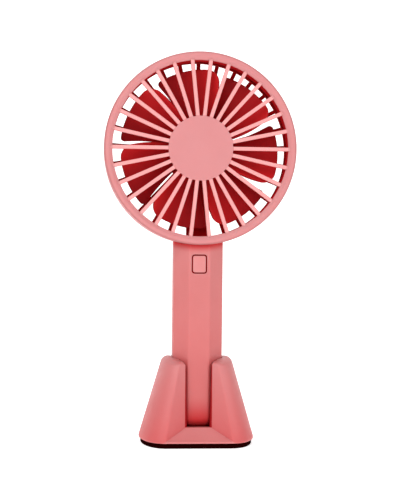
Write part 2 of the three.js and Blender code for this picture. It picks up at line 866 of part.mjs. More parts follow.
function roundedRectangle(width, height, radius, steps = 3) {
  const outline = [];
  const [w, h] = [width / 2 - radius, height / 2 - radius];
  [
    [w, h, 0],
    [-w, h, 90],
    [-w, -h, 180],
    [w, -h, 270],
  ].forEach(([x, y, start]) => {
    for (let i = 0; i <= steps; i++) {
      const turn = THREE.MathUtils.degToRad(start + (90 * i) / steps);
      outline.push([x + radius * Math.cos(turn), y + radius * Math.sin(turn)]);
    }
  });
  return outline;
}

function blockY(outline, y0, y1, above) {
  return plateY(
    outline.map(([x, z]) => [x, z + above]),
    y0,
    y1,
  );
}

const recessRadius = screw.headRadius + gap;
const portMouth = halfDepth - port.recess;
const headSeat = halfDepth - lowerScrew.recess; // Y under a handle screw's head

function handleFrontShell() {
  const half = box(-20, 20, -20, -0.05, -5, handleTop + 5);
  const shell = cut(handleBody(), handleHollow()).intersect(half);
  const lip = jointLip(handle.lip, handle.lip).intersect(handleBody());
  const root = -halfDepth + shellBoss.root;
  const pilotRadius = screw.shankRadius + screw.pilot;
  const posts = boardPosts.map(({ x, above }) =>
    barY(boardPost.radius, root, board.front - snug, x, above),
  );
  const bosses = handleScrews.map(({ x, above }, i) =>
    barY(shellBoss.radius, root, i < 2 ? neck.front - gap : -gap, x, above),
  );
  const pilots = handleScrews.map(({ x, above }) =>
    barY(pilotRadius, -halfDepth + shellBoss.pilotWall, 1, x, above),
  );
  const boardPilots = boardPosts.map(({ x, above }) =>
    barY(pilotRadius, board.front - boardPost.screwDepth - 0.4, board.front + 1, x, above),
  );
  const inner = join(...posts, ...bosses).intersect(handleBody());
  const room = gap + 0.05;
  const window = blockY(
    roundedRectangle(button.width + 2 * room, button.height + 2 * room, button.cornerRadius + gap),
    -halfDepth - 1,
    -inside + 1,
    buttonHeight,
  );
  return cut(join(shell, lip, inner), ...pilots, ...boardPilots, window);
}

function handleRearShell() {
  const half = box(-20, 20, 0.05, 20, -5, handleTop + 5);
  const shell = cut(handleBody(), handleHollow()).intersect(half);
  const rebate = jointLip(handle.lip - snug, handle.lip + snug);
  const lower = handleScrews[2];
  const root = halfDepth - shellBoss.root;
  const boss = join(
    barY(shellBoss.radius, gap, root, lower.x, lower.above),
    barY(recessRadius + 0.8, headSeat - 1.2, root, lower.x, lower.above),
  );
  const pads = handleScrews
    .slice(0, 2)
    .map(({ x, above }) => barY(shellBoss.padRadius, neck.back + snug, root, x, above));
  const shanks = handleScrews.map(({ x, above }) =>
    barY(screw.shankRadius + screw.clearance, -1, halfDepth + 1, x, above),
  );
  const recesses = handleScrews.map(({ x, above }, i) =>
    barY(recessRadius, i < 2 ? halfDepth - handleScrew.sink : headSeat, halfDepth + 1, x, above),
  );
  const portHole = blockY(
    roundedRectangle(port.width + 2 * gap, port.height + 2 * gap, 1.2),
    inside - 1,
    halfDepth + 1,
    portHeight,
  );
  const pipeHole = barY(pipe.radius + 0.1, inside - 1, halfDepth + 1, pipe.x, pipeHeight);
  const inner = join(boss, ...pads).intersect(handleBody());
  return cut(join(cut(shell, rebate), inner), ...shanks, ...recesses, portHole, pipeHole);
}

function powerButton() {
  const { width, height, cornerRadius, edge, flange, flangeDepth, stemRadius } = button;
  const front = -halfDepth - button.proud;
  const back = -inside + gap;
  const smaller = roundedRectangle(width - 2 * edge, height - 2 * edge, cornerRadius - edge);
  const full = roundedRectangle(width, height, cornerRadius);
  const wider = roundedRectangle(width + 2 * flange, height + 2 * flange, 0.6);
  return join(
    blockY(smaller, front, back, buttonHeight),
    blockY(full, front + edge, back, buttonHeight),
    blockY(wider, back - snug, back + flangeDepth, buttonHeight),
    barY(stemRadius, back, switchTip - snug, 0, buttonHeight),
  );
}

const switchFront = board.front - snug / 2 - boardSwitch.height;
const switchTip = switchFront - boardSwitch.plungerLength;

function switchCase() {
  const half = boardSwitch.size / 2;
  const back = board.front - snug / 2;
  const body = box(-half, half, switchFront, back, buttonHeight - half, buttonHeight + half);
  const wellRadius = boardSwitch.plungerRadius + 0.15;
  const wellFloor = switchFront + boardSwitch.sink + 0.8;
  return cut(body, barY(wellRadius, switchFront - 1, wellFloor, 0, buttonHeight));
}

function switchPlunger() {
  return barY(boardSwitch.plungerRadius, switchTip, switchFront + boardSwitch.sink, 0, buttonHeight);
}

function mainBoard() {
  const half = board.width / 2;
  const holes = boardPosts.map(({ x, above }) =>
    barY(screw.shankRadius + screw.clearance, board.front - 1, board.back + 1, x, above),
  );
  return cut(box(-half, half, board.front, board.back, boardBottom, boardTop), ...holes);
}

function usbShell() {
  const outer = roundedRectangle(port.width, port.height, 0.8);
  const inner = roundedRectangle(port.width - 2 * port.wall, port.height - 2 * port.wall, 0.5);
  return cut(
    blockY(outer, board.back + snug / 2, portMouth, portHeight),
    blockY(inner, board.back + port.floor, portMouth + 1, portHeight),
  );
}

function usbTongue() {
  const { halfWidth, halfHeight, sink } = portTongue;
  const [front, back] = [board.back + port.floor + snug, portMouth - sink];
  return box(-halfWidth, halfWidth, front, back, portHeight - halfHeight, portHeight + halfHeight);
}

function controlChip() {
  const [front, middle] = [board.back + snug / 2, boardTop - chip.down];
  const [x0, x1] = [chip.x - chip.width / 2, chip.x + chip.width / 2];
  return box(x0, x1, front, front + chip.height, middle - chip.size / 2, middle + chip.size / 2);
}

function chargeLed() {
  const front = board.back + snug / 2;
  const [z0, z1] = [pipeHeight - led.halfHeight, pipeHeight + led.halfHeight];
  return box(pipe.x - led.halfWidth, pipe.x + led.halfWidth, front, front + led.depth, z0, z1);
}

function lightPipe() {
  return barY(pipe.radius, board.back + led.depth + 0.25, halfDepth, pipe.x, pipeHeight);
}

// ---- Battery ----

const tabTurn = 114.4; // degrees, towards the octagon's corner, where the lead has room beside the cell
const sideWire = {
  x: -(cell.radius + 0.2 + leadWire.radius) * Math.cos(THREE.MathUtils.degToRad(tabTurn)),
  y: (cell.radius + 0.2 + leadWire.radius) * Math.sin(THREE.MathUtils.degToRad(tabTurn)),
};

function negativeTab() {
  const top = cellBottom - 0.08;
  const strip = box(-3, cell.radius + 0.75, -1.6, 1.6, top - cell.tab, top);
  return strip.rotate([0, 0, tabTurn]);
}

function positiveCap() {
  return barZ(cell.nubRadius, cellTop + snug / 2, cellTop + cell.nub, 0, 0, shaftCircle);
}

function positiveTab() {
  const bottom = cellTop + cell.nub + snug;
  return box(-2.4, 4.2, -1.6, 1.6, bottom, bottom + cell.tab);
}

function batteryFoam() {
  return box(-foam.halfWidth, foam.halfWidth, cell.radius + snug, inside - snug, foam.bottom, foam.top);
}

function batteryLeadPositive() {
  const above = cellTop + cell.nub + snug + cell.tab;
  return wire(
    [
      [3.4, 0, above + 0.5],
      [4.4, 1.6, above + 1.3],
      [4.8, 3.2, boardBottom - 2],
      [4.4, 2.6, boardBottom + 0.4],
      [3.8, 0.95, boardBottom + 1.6],
    ],
    14,
  );
}

function batteryLeadNegative() {
  return wire(
    [
      [-sideWire.x, sideWire.y, cellBottom + 0.1],
      [-sideWire.x, sideWire.y, between(cellBottom, cellTop, 1 / 3)],
      [-sideWire.x, sideWire.y, between(cellBottom, cellTop, 2 / 3)],
      [-sideWire.x, sideWire.y, cellTop - 0.6],
      [-4.2, sideWire.y - 1.3, boardBottom - 2.8],
      [-4.3, 4.4, boardBottom - 0.6],
      [-3.8, 0.95, boardBottom + 1.6],
    ],
    30,
  );
}

// A lead from the board up the neck and the channel to a terminal, about the head's axis.
function motorLead(side) {
  const boardPad = boardTop - 1.6 - headAxis;
  const cupEdge = -coverRadius;
  return wire(
    [
      [side * 1.2, board.back + 0.55, boardPad],
      [side * 1, 3.2, boardPad - 0.1],
      [side * 0.75, 5.4, boardPad + 1.4],
      [side * 0.75, 5.8, boardPad + 4.6],
      [side * 0.75, 5.8, -head.radius + 6],
      [side * 0.8, 5.9, cupEdge - 8],
      [side * 0.9, 6.5, cupEdge - 1],
      [side * 0.95, 7.2, cupEdge + 1],
      [side * 1, 9.2, cupEdge + 2.7],
      [side * 1.7, 9.95, cupEdge + 4.5],
      [side * (terminalX - 2.6), 9.85, -6.4],
      [side * (terminalX - 0.6), 9.8, -2],
    ],
    34,
  );
}

// ---- Stand ----

function between(a, b, share) {
  return a + (b - a) * share;
}

// The stand's outline at a height: a valley between two ridges in front and behind, and round sides.
function standOutline(z, inset = 0) {
  const share = Math.max(0, (z - stand.bottom - stand.skirt) / (stand.top - stand.bottom - stand.skirt));
  const halfWidth = between(standBottom.halfWidth, standTop.halfWidth, share) - inset;
  const depth = between(standBottom.halfDepth, standTop.halfDepth, share) - inset;
  const ridge = between(standBottom.ridge, standTop.ridge, share) - 0.4 * inset;
  const lipStart = stand.bottom + stand.skirt;
  const lipShare = THREE.MathUtils.clamp((z - lipStart) / (stand.lipTop - lipStart), 0, 1);
  const upper = Math.max(0, (z - stand.lipTop) / (stand.top - stand.lipTop));
  const valleyX = between(ridge, slotHalf, lipShare);
  const valleyY =
    lipShare < 1
      ? between(depth, socketHalf + stand.valleyAtLip - inset, lipShare)
      : socketHalf + between(stand.valleyAtLip, stand.valleyAtTop, upper) - inset;
  const side = [new THREE.Vector2(valleyX, -valleyY)];
  const arcSteps = 6;
  for (let i = 0; i <= 2 * arcSteps; i++) {
    const turn = -Math.PI / 2 + (i / (2 * arcSteps)) * Math.PI;
    side.push(new THREE.Vector2(ridge + (halfWidth - ridge) * Math.cos(turn), depth * Math.sin(turn)));
  }
  side.push(new THREE.Vector2(valleyX, valleyY));
  const mirrored = side.map((p) => new THREE.Vector2(-p.x, p.y)).reverse();
  return [...side, ...mirrored];
}

function standOuter() {
  const lipStart = stand.bottom + stand.skirt;
  const levels = [
    { z: stand.bottom, outline: standOutline(lipStart) },
    { z: lipStart, outline: standOutline(lipStart) },
    { z: stand.lipTop, outline: standOutline(stand.lipTop) },
    { z: stand.top - stand.topRound, outline: standOutline(stand.top - stand.topRound) },
    { z: stand.top - 0.3 * stand.topRound, outline: standOutline(stand.top, 0.3 * stand.topRound) },
    { z: stand.top, outline: standOutline(stand.top, stand.topRound) },
  ];
  return lofted(levels);
}

function standBody() {
  const outer = standOuter();
  const lipStart = stand.bottom + stand.skirt;
  const hollow = lofted([
    { z: stand.bottom - 1, outline: standOutline(lipStart, stand.wall) },
    { z: lipStart, outline: standOutline(lipStart, stand.wall) },
    { z: stand.lipTop, outline: standOutline(stand.lipTop, stand.wall) },
    { z: stand.hollowTop, outline: standOutline(stand.hollowTop, stand.wall) },
  ]);
  const under = stand.seat - stand.floorThickness;
  const above = stand.top + 1;
  const socketBlock = plateZ(octagon(-socketClearance - stand.socketWall), under, above);
  const slotSide = slotHalf + stand.socketWall;
  const slotBlock = box(-slotSide, slotSide, -stand.reach, stand.reach, under, above);
  const bosses = standScrews.map(({ x, y }) =>
    barZ(standScrew.bossRadius, basePlate.top + snug, stand.hollowTop + 1, x, y),
  );
  const pilots = standScrews.map(({ x, y }) =>
    barZ(screw.shankRadius + screw.pilot, 0, standScrew.length + 6, x, y),
  );
  const socket = plateZ(octagon(-socketClearance), stand.seat, above);
  const slot = box(-slotHalf, slotHalf, -stand.reach, stand.reach, stand.lipTop, above);
  return cut(outer, cut(hollow, socketBlock, slotBlock, ...bosses), socket, slot, ...pilots);
}

function standPlate({ bottom, top, inset }, holeRadius) {
  const outline = standOutline(top, inset);
  const holes = standScrews.map(({ x, y }) => barZ(holeRadius, bottom - 1, top + 1, x, y));
  return cut(plateZ(dropRepeats(outline), bottom, top), ...holes);
}

function dropRepeats(outline) {
  return outline.filter((p, i) => p.distanceTo(outline[(i + 1) % outline.length]) > 1e-6);
}

function standBasePlate() {
  const sinkTop = basePlate.bottom + standScrew.headHeight + snug;
  const sinks = standScrews.map(({ x, y }) => barZ(screw.headRadius + gap, 0, sinkTop, x, y));
  return cut(standPlate(basePlate, screw.shankRadius + screw.clearance), ...sinks);
}

function antiSlipPad() {
  const outline = dropRepeats(standOutline(stand.bottom, pad.inset));
  const lower = dropRepeats(standOutline(stand.bottom, pad.inset + pad.edgeRound));
  return lofted([
    { z: 0, outline: lower },
    { z: pad.edgeRound, outline },
    { z: pad.thickness, outline },
  ]);
}

function standScrewAt({ x, y }) {
  const headTop = basePlate.bottom + standScrew.headHeight;
  const shank = barZ(screw.shankRadius, headTop - 0.1, headTop + standScrew.length, x, y);
  return shank.add(barZ(screw.headRadius, basePlate.bottom, headTop, x, y));
}

// ---- Assembly ----

const object = new THREE.Group();

const standGroup = new THREE.Group();
object.add(standGroup);
addPiece(standGroup, "stand_body", "shellPink", standBody());
addPiece(standGroup, "stand_base_plate", "shellPink", standBasePlate());
addPiece(standGroup, "ballast_plate", "steel", standPlate(ballast, standScrew.bossRadius + gap));
addPiece(standGroup, "anti_slip_pad", "padBlack", antiSlipPad());
standScrews.forEach((place, i) =>
  addPiece(standGroup, `stand_screw_${i + 1}`, "steel", standScrewAt(place)),
);

const fanGroup = new THREE.Group();
fanGroup.position.z = stand.seat + snug;
object.add(fanGroup);

addPiece(fanGroup, "handle_front_shell", "shellPink", handleFrontShell());
addPiece(fanGroup, "handle_rear_shell", "shellPink", handleRearShell());
addPiece(fanGroup, "power_button", "shellPink", powerButton());
addPiece(fanGroup, "switch_case", "blackPlastic", switchCase());
addPiece(fanGroup, "switch_plunger", "blackPlastic", switchPlunger());
addPiece(fanGroup, "main_board", "boardGreen", mainBoard());
addPiece(fanGroup, "control_chip", "blackPlastic", controlChip());
addPiece(fanGroup, "charge_led", "clear", chargeLed());
addPiece(fanGroup, "light_pipe", "clear", lightPipe());
addPiece(fanGroup, "usb_shell", "steel", usbShell());
addPiece(fanGroup, "usb_tongue", "blackPlastic", usbTongue());
boardPosts.forEach(({ x, above }, i) =>
  addPiece(
    fanGroup,
    `board_screw_${i + 1}`,
    "steel",
    screwY(x, above, board.front - boardPost.screwDepth, board.back + snug),
  ),
);
handleScrews.forEach(({ x, above }, i) =>
  addPiece(
    fanGroup,
    `handle_screw_${i + 1}`,
    "steel",
    screwY(x, above, handleScrew.tip, (i < 2 ? halfDepth - handleScrew.sink : headSeat) + snug),
  ),
);

addPiece(fanGroup, "battery_cell", "wrapBlue", barZ(cell.radius, cellBottom, cellTop, 0, 0, 32));
addPiece(fanGroup, "battery_positive_cap", "nickel", positiveCap());
addPiece(fanGroup, "battery_tab_positive", "nickel", positiveTab());
addPiece(fanGroup, "battery_tab_negative", "nickel", negativeTab());
addPiece(fanGroup, "battery_foam", "foamGrey", batteryFoam());

addPiece(fanGroup, "lead_battery_positive", "wireRed", batteryLeadPositive());
addPiece(fanGroup, "lead_battery_negative", "wireBlack", batteryLeadNegative());

const headGroup = new THREE.Group();
headGroup.position.z = headAxis;
fanGroup.add(headGroup);

addPiece(headGroup, "front_grille", "grillePink", frontGrille());
addPiece(headGroup, "head_ring", "shellPink", headRing());
addPiece(headGroup, "rear_grille", "ductRed", rearGrille());
addPiece(headGroup, "rear_cover", "shellPink", rearCover());
addPiece(headGroup, "impeller", "bladeRed", impeller());
addPiece(headGroup, "motor_can", "motorSteel", motorCan());
addPiece(headGroup, "motor_end_cap", "whitePlastic", motorEndCap());
addPiece(headGroup, "motor_magnet_left", "magnet", motorMagnet(180));
addPiece(headGroup, "motor_magnet_right", "magnet", motorMagnet(0));
addPiece(
  headGroup,
  "motor_front_bush",
  "bronze",
  motorBush(motor.front - motor.boss + snug, motor.front + motor.wall - snug),
);
addPiece(headGroup, "motor_rear_bush", "bronze", motorBush(motor.canBack - 1.5, motor.back - snug));
addPiece(headGroup, "motor_terminal_positive", "nickel", motorTerminal(-1));
addPiece(headGroup, "motor_terminal_negative", "nickel", motorTerminal(1));
addPiece(headGroup, "motor_shaft", "steel", motorShaft());
addPiece(headGroup, "armature_core", "motorSteel", armatureCore());
for (let i = 0; i < armature.poles; i++) {
  addPiece(headGroup, `armature_coil_${i + 1}`, "copper", armatureCoil(i));
}
addPiece(headGroup, "commutator", "copper", commutator());
[-1, 1].forEach((side, i) =>
  addPiece(
    headGroup,
    `motor_screw_${i + 1}`,
    "steel",
    screwFrontY(side * motorScrewX, 0, motor.front + motor.wall - snug, cupFront - snug / 2),
  ),
);
addPiece(headGroup, "lead_motor_positive", "wireRed", motorLead(-1));
addPiece(headGroup, "lead_motor_negative", "wireBlack", motorLead(1));

export default object;
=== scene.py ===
import math
import bmesh
import bpy
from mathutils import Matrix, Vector


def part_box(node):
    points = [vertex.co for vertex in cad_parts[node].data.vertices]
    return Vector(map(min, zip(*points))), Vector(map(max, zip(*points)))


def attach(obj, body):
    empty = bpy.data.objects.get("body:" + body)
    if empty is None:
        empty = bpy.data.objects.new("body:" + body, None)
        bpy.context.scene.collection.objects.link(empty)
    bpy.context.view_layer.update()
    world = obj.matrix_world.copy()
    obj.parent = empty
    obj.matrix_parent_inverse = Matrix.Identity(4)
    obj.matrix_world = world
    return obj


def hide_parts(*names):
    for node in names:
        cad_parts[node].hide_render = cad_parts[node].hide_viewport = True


# A handheld fan in its stand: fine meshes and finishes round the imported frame.
# Shapes are worked out in millimetres and scaled to metres as each mesh is made.

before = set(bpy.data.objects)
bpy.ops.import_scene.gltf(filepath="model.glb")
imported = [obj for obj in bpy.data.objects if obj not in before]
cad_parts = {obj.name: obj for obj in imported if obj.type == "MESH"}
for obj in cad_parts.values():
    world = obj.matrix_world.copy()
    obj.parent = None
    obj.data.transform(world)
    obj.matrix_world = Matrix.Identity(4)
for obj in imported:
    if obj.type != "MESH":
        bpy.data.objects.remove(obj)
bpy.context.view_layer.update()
mm = 0.001


class Values(dict):
    # a dictionary whose entries are also read as attributes
    __getattr__ = dict.__getitem__


def boxMm(node):
    low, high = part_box(node)
    return [c / mm for c in low], [c / mm for c in high]


def centreMm(node):
    low, high = boxMm(node)
    return [(a + b) / 2 for a, b in zip(low, high)]


headLow, headHigh = boxMm("front_grille")
headRadius = (headHigh[0] - headLow[0]) / 2
headZ = (headHigh[2] + headLow[2]) / 2
headFront = headLow[1]
headBack = boxMm("head_ring")[1][1] - 0.1
handleLow, handleHigh = boxMm("handle_rear_shell")
handleHalf = handleHigh[0]
handleBottom = handleLow[2]
standLow, standHigh = boxMm("stand_body")
padTop = boxMm("anti_slip_pad")[1][2]


def filleted(corners, arcSteps=4, closed=True):
    # each corner is (a, b, radius); the corner becomes an arc that touches both of its edges
    points = []
    count = len(corners)
    for i, (a, b, radius) in enumerate(corners):
        corner = Vector((a, b))
        if radius <= 0 or (not closed and i in (0, count - 1)):
            points.append((a, b))
            continue
        back = Vector(corners[i - 1][:2]) - corner
        ahead = Vector(corners[(i + 1) % count][:2]) - corner
        half = back.angle(ahead) / 2
        nearest = min(back.length, ahead.length)
        reach = min(max(radius / math.tan(half), 0.02 * nearest), 0.49 * nearest)
        start, stop = corner + back.normalized() * reach, corner + ahead.normalized() * reach
        weight = math.sin(half)
        for k in range(arcSteps + 1):
            t = k / arcSteps
            shares = ((1 - t) ** 2, 2 * t * (1 - t) * weight, t * t)
            point = (start * shares[0] + corner * shares[1] + stop * shares[2]) / sum(shares)
            points.append(tuple(point))
    return points


def roundedBox(width, height, radius, arcSteps=4):
    w, h = width / 2, height / 2
    corners = [(w, -h), (w, h), (-w, h), (-w, -h)]
    return filleted([(a, b, radius) for a, b in corners], arcSteps)


def quarter(steps):
    # sine and cosine at even steps of a quarter turn
    turns = [k / steps * math.pi / 2 for k in range(steps + 1)]
    return [(math.sin(turn), math.cos(turn)) for turn in turns]


def octagon(half, chamfer, radius, arcSteps=5):
    flat = half - chamfer
    corners = [(flat, -half), (half, -flat), (half, flat), (flat, half)]
    corners += [(-a, -b) for a, b in corners]
    return filleted([(a, b, radius) for a, b in corners], arcSteps)


def turned(profile, steps, centreZ=0.0):
    # a (radius, y) profile round the Y axis; it closes on itself or starts and ends on the axis
    points, faces, rings = [], [], []
    for radius, y in profile:
        if radius < 1e-6:
            rings.append([len(points)] * steps)
            points.append((0, y, centreZ))
            continue
        rings.append(list(range(len(points), len(points) + steps)))
        for i in range(steps):
            angle = 2 * math.pi * i / steps
            points.append((radius * math.cos(angle), y, centreZ + radius * math.sin(angle)))
    pairs = list(zip(rings, rings[1:]))
    if profile[0][0] > 1e-6:
        pairs.append((rings[-1], rings[0]))
    for a, b in pairs:
        for i in range(steps):
            j = (i + 1) % steps
            quad = list(dict.fromkeys([a[i], a[j], b[j], b[i]]))
            if len(quad) > 2:
                faces.append(quad)
    return points, faces


def lofted(sections):
    # sections are loops of points with the same count; the first and last are closed by a face
    count = len(sections[0])
    points = [p for loop in sections for p in loop]
    faces = []
    for level in range(len(sections) - 1):
        for i in range(count):
            j = (i + 1) % count
            a, b = level * count, (level + 1) * count
            faces.append([a + i, a + j, b + j, b + i])
    faces.append(list(range(count))[::-1])
    faces.append([len(points) - count + i for i in range(count)])
    return points, faces


def prismY(outline, y0, y1):
    return lofted([[(x, y, z) for x, z in outline] for y in (y0, y1)])


def prismZ(outline, z0, z1):
    return lofted([[(x, y, z) for x, y in outline] for z in (z0, z1)])


def block(x0, x1, y0, y1, z0, z1):
    return prismZ([(x0, y0), (x1, y0), (x1, y1), (x0, y1)], z0, z1)


def bar(radius, y0, y1, x, z, steps=32):
    points, faces = turned([(0, y0), (radius, y0), (radius, y1), (0, y1)], steps)
    return [(px + x, py, pz + z) for px, py, pz in points], faces


def together(*shapes):
    points, faces = [], []
    for shapePoints, shapeFaces in shapes:
        start = len(points)
        points += shapePoints
        faces += [[start + i for i in face] for face in shapeFaces]
    return points, faces


def turnedRound(shape, angle):
    # the shape turned about the head's axis, anticlockwise as seen from the front
    c, s = math.cos(angle), math.sin(angle)
    points = [(x * c - (z - headZ) * s, y, headZ + x * s + (z - headZ) * c) for x, y, z in shape[0]]
    return points, shape[1]


def evenNormals(mesh, weld=None):
    # faces all turned outwards, after points closer than the weld are merged
    work = bmesh.new()
    work.from_mesh(mesh)
    if weld:
        bmesh.ops.remove_doubles(work, verts=work.verts, dist=weld)
    bmesh.ops.recalc_face_normals(work, faces=work.faces)
    work.to_mesh(mesh)
    work.free()


def makePiece(name, shape):
    mesh = bpy.data.meshes.new(name)
    mesh.from_pydata([[c * mm for c in p] for p in shape[0]], [], shape[1])
    evenNormals(mesh)
    piece = bpy.data.objects.new(name, mesh)
    bpy.context.scene.collection.objects.link(piece)
    return piece


def discard(piece):
    mesh = piece.data
    bpy.data.objects.remove(piece)
    bpy.data.meshes.remove(mesh)


def carve(piece, shape, how="DIFFERENCE"):
    # cuts, joins or keeps by another solid, and keeps the result as the piece's own mesh
    cutter = makePiece("cutter", shape)
    step = piece.modifiers.new("carve", "BOOLEAN")
    step.object, step.operation, step.solver = cutter, how, "EXACT"
    bpy.context.view_layer.update()
    shaped = bpy.data.meshes.new_from_object(piece.evaluated_get(bpy.context.evaluated_depsgraph_get()))
    piece.modifiers.clear()
    old, piece.data = piece.data, shaped
    bpy.data.meshes.remove(old)
    discard(cutter)
    piece.data.name = piece.name
    return piece


def softEdges(piece, width, segments=3, angle=32):
    edge = piece.modifiers.new("edges", "BEVEL")
    edge.width = width * mm
    edge.segments = segments
    edge.limit_method = "ANGLE"
    edge.angle_limit = math.radians(angle)
    edge.use_clamp_overlap = True
    return piece


def finishPiece(piece, material, slot, body, *nodes, smoothAngle=38):
    piece.data.materials.clear()
    piece.data.materials.append(material)
    piece.data.shade_smooth()
    piece.data.set_sharp_from_angle(angle=math.radians(smoothAngle))
    for face in piece.data.polygons:
        face.use_smooth = len(face.vertices) < 16
    evened = piece.modifiers.new("evened", "WEIGHTED_NORMAL")
    evened.keep_sharp = True
    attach(piece, body)
    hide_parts(*nodes)
    return piece


def nodeTree(name):
    # a new material, with what the helpers below need to add to it
    material = bpy.data.materials.new(name)
    material.use_nodes = True
    nodes, links = material.node_tree.nodes, material.node_tree.links
    place = nodes.new("ShaderNodeTexCoord").outputs["Object"]
    return Values(material=material, nodes=nodes, links=links, place=place)


def setInput(net, socket, value):
    if isinstance(value, (int, float)):
        socket.default_value = value
    elif isinstance(value, tuple):
        socket.default_value = (*value, 1) if socket.type == "RGBA" else value
    else:
        net.links.new(value, socket)


def fillIn(net, node, **values):
    # the node's inputs by their names, written together: baseColor sets Base Color
    for key, value in values.items():
        setInput(net, next(i for i in node.inputs if i.name.replace(" ", "").lower() == key.lower()), value)


def shade(net, **values):
    fillIn(net, net.nodes["Principled BSDF"], **values)


def addNode(net, kind, **values):
    node = net.nodes.new("ShaderNode" + kind)
    fillIn(net, node, **values)
    return node


def noiseNode(net, scale, detail=2.0, rough=0.5, place=None):
    place = place or net.place
    noise = addNode(net, "TexNoise", vector=place, scale=scale, detail=detail, roughness=rough)
    return noise.outputs["Fac"]


def rampNode(net, value, low, high, toLow=0.0, toHigh=1.0, smooth=True):
    ramp = addNode(net, "MapRange", value=value, fromMin=low, fromMax=high, toMin=toLow, toMax=toHigh)
    ramp.interpolation_type = "SMOOTHSTEP" if smooth else "LINEAR"
    return ramp.outputs["Result"]


def rampMm(net, value, ends, toLow=0.0, toHigh=1.0, smooth=True):
    # the same between two lengths in millimetres
    return rampNode(net, value, ends[0] * mm, ends[1] * mm, toLow, toHigh, smooth)


def mixNode(net, share, first, second):
    mix = net.nodes.new("ShaderNodeMix")
    mix.data_type = "RGBA"
    setInput(net, mix.inputs["Factor"], share)
    for key, colour in (("A", first), ("B", second)):
        setInput(net, next(i for i in mix.inputs if i.name == key and i.type == "RGBA"), colour)
    return next(o for o in mix.outputs if o.type == "RGBA")


def mathNode(net, kind, first, second=0.0):
    step = net.nodes.new("ShaderNodeMath")
    step.operation = kind
    setInput(net, step.inputs[0], first)
    setInput(net, step.inputs[1], second)
    return step.outputs[0]


def bumpNode(net, height, strength, depth, under=None):
    bump = addNode(net, "Bump", strength=strength, distance=depth * mm, height=height)
    if under is not None:
        net.links.new(under, bump.inputs["Normal"])
    return bump.outputs["Normal"]


def ownSkinNear(net, reach, inside, low):
    # 1 where the piece's own skin is close by, 0 where it is far off
    near = addNode(net, "AmbientOcclusion", distance=reach * mm)
    near.inside, near.only_local, near.samples = inside, True, 4
    return rampNode(net, near.outputs["AO"], low, 0.95, 1.0, 0.0)


def mouldedPlastic(name, look, paintedShadeMask=None, tint=None):
    # satin moulded plastic: a spark-etched grain, faint flow marks, a painted highlight of paler colour
    # along the convex edges, and a painted shade of deeper red in the creases and wherever the mask puts
    # it, with less gloss there
    net = nodeTree(name)
    flow = noiseNode(net, look.flowScale, 3.0, 0.55)
    colour = mixNode(net, rampNode(net, flow, 0.32, 0.68), look.shade, look.colour)
    if tint is not None:
        colour = tint(net, colour)
    # painted highlight: near the piece's own convex edges the colour is mixed towards the paler edge colour
    edge = mathNode(net, "MULTIPLY", ownSkinNear(net, look.edgeReach, True, 0.45), look.edgeShare)
    colour = mixNode(net, edge, colour, look.edge)
    # painted shade: in the piece's own creases, and where the mask says, the colour goes to the deep red
    # shade colour
    creases = ownSkinNear(net, look.creaseReach, False, 0.35)
    deep = mathNode(net, "MULTIPLY", creases, look.creaseShare)
    if paintedShadeMask is not None:
        deep = mathNode(net, "MAXIMUM", deep, paintedShadeMask(net))
    grain = noiseNode(net, look.grainScale, 2.0, 0.6)
    rub = noiseNode(net, look.flowScale * 6, 4.0, 0.6)
    waves = bumpNode(net, flow, 0.25, look.grainDepth * 2)
    shade(
        net,
        baseColor=mixNode(net, deep, colour, look.deep),
        specularIORLevel=rampNode(net, deep, 0.0, 0.9, look.gloss, 0.0, False),
        roughness=rampNode(net, rub, 0.3, 0.7, *look.roughness),
        normal=bumpNode(net, grain, look.grainStrength, look.grainDepth, waves),
        ior=1.46,
        subsurfaceWeight=look.glow,
        subsurfaceRadius=(1.0, 0.28, 0.22),
        subsurfaceScale=look.glowDepth * mm,
    )
    return net.material


shellLook = Values(
    colour=(0.575, 0.162, 0.158),
    shade=(0.550, 0.146, 0.142),
    # edge is the paler colour of the painted highlight on convex edges; deep is the deep red of the painted
    # shade
    edge=(0.66, 0.25, 0.24),
    edgeShare=0.5,
    edgeReach=0.7,
    deep=(0.52, 0.012, 0.016),
    creaseReach=3.0,
    creaseShare=0.5,
    flowScale=38.0,
    grainScale=5200.0,
    grainDepth=0.03,
    grainStrength=0.3,
    roughness=(0.46, 0.56),
    gloss=0.8,
    glow=0.22,
    glowDepth=2.2,
)
# painted shade for the stand: a stronger, darker red towards its foot, weaker on the lip
standLowShade = Values(
    colour=(0.57, 0.080, 0.081),
    heights=(2.0, 44.0),
    share=1.0,
    acrossShare=0.57,
    upShare=1.0,
    weakEnds=(12.1, 12.7),
    weak=0.3,
)
# painted shade for the handle: a stronger red towards its foot, weaker on its front facet than on its sides
handleLowShade = Values(
    colour=(0.575, 0.074, 0.074),
    heights=(8.0, 90.0),
    share=0.8,
    acrossShare=1.0,
    upShare=0.0,
    weakEnds=(4.9, 5.5),
    weak=0.8,
)
standLook = Values(
    shellLook,
    colour=(0.585, 0.192, 0.190),
    shade=(0.565, 0.176, 0.174),
    deep=(0.30, 0.010, 0.013),
)
# painted shade: the rim's outer round is mixed towards this darker red
rimEdgeShade = Values(colour=(0.40, 0.105, 0.105), radii=(44.75, 45.7), share=0.75)
# painted light: the grille's pink is a paler copy of the shell's, for the light that falls on the head
grilleLitLook = Values(
    shellLook,
    colour=(0.585, 0.205, 0.208),
    shade=(0.565, 0.192, 0.195),
    edge=(0.66, 0.28, 0.27),
    creaseShare=0.25,
    creaseReach=1.5,
)
# where the painted shade lies on the inner walls of the front grille and the head ring
ductShadeReach = Values(
    grilleDepths=(1.5, 2.3),
    grilleRadii=(43.4, 43.8),
    ringRadii=(43.7, 44.0),
    ringEnds=(8.0, 8.4),
)
# painted highlight: the spokes are mixed towards this paler pink
spokeHighlight = Values(colour=(0.78, 0.31, 0.305), begins=15.9, ends=41.6, soft=0.4)
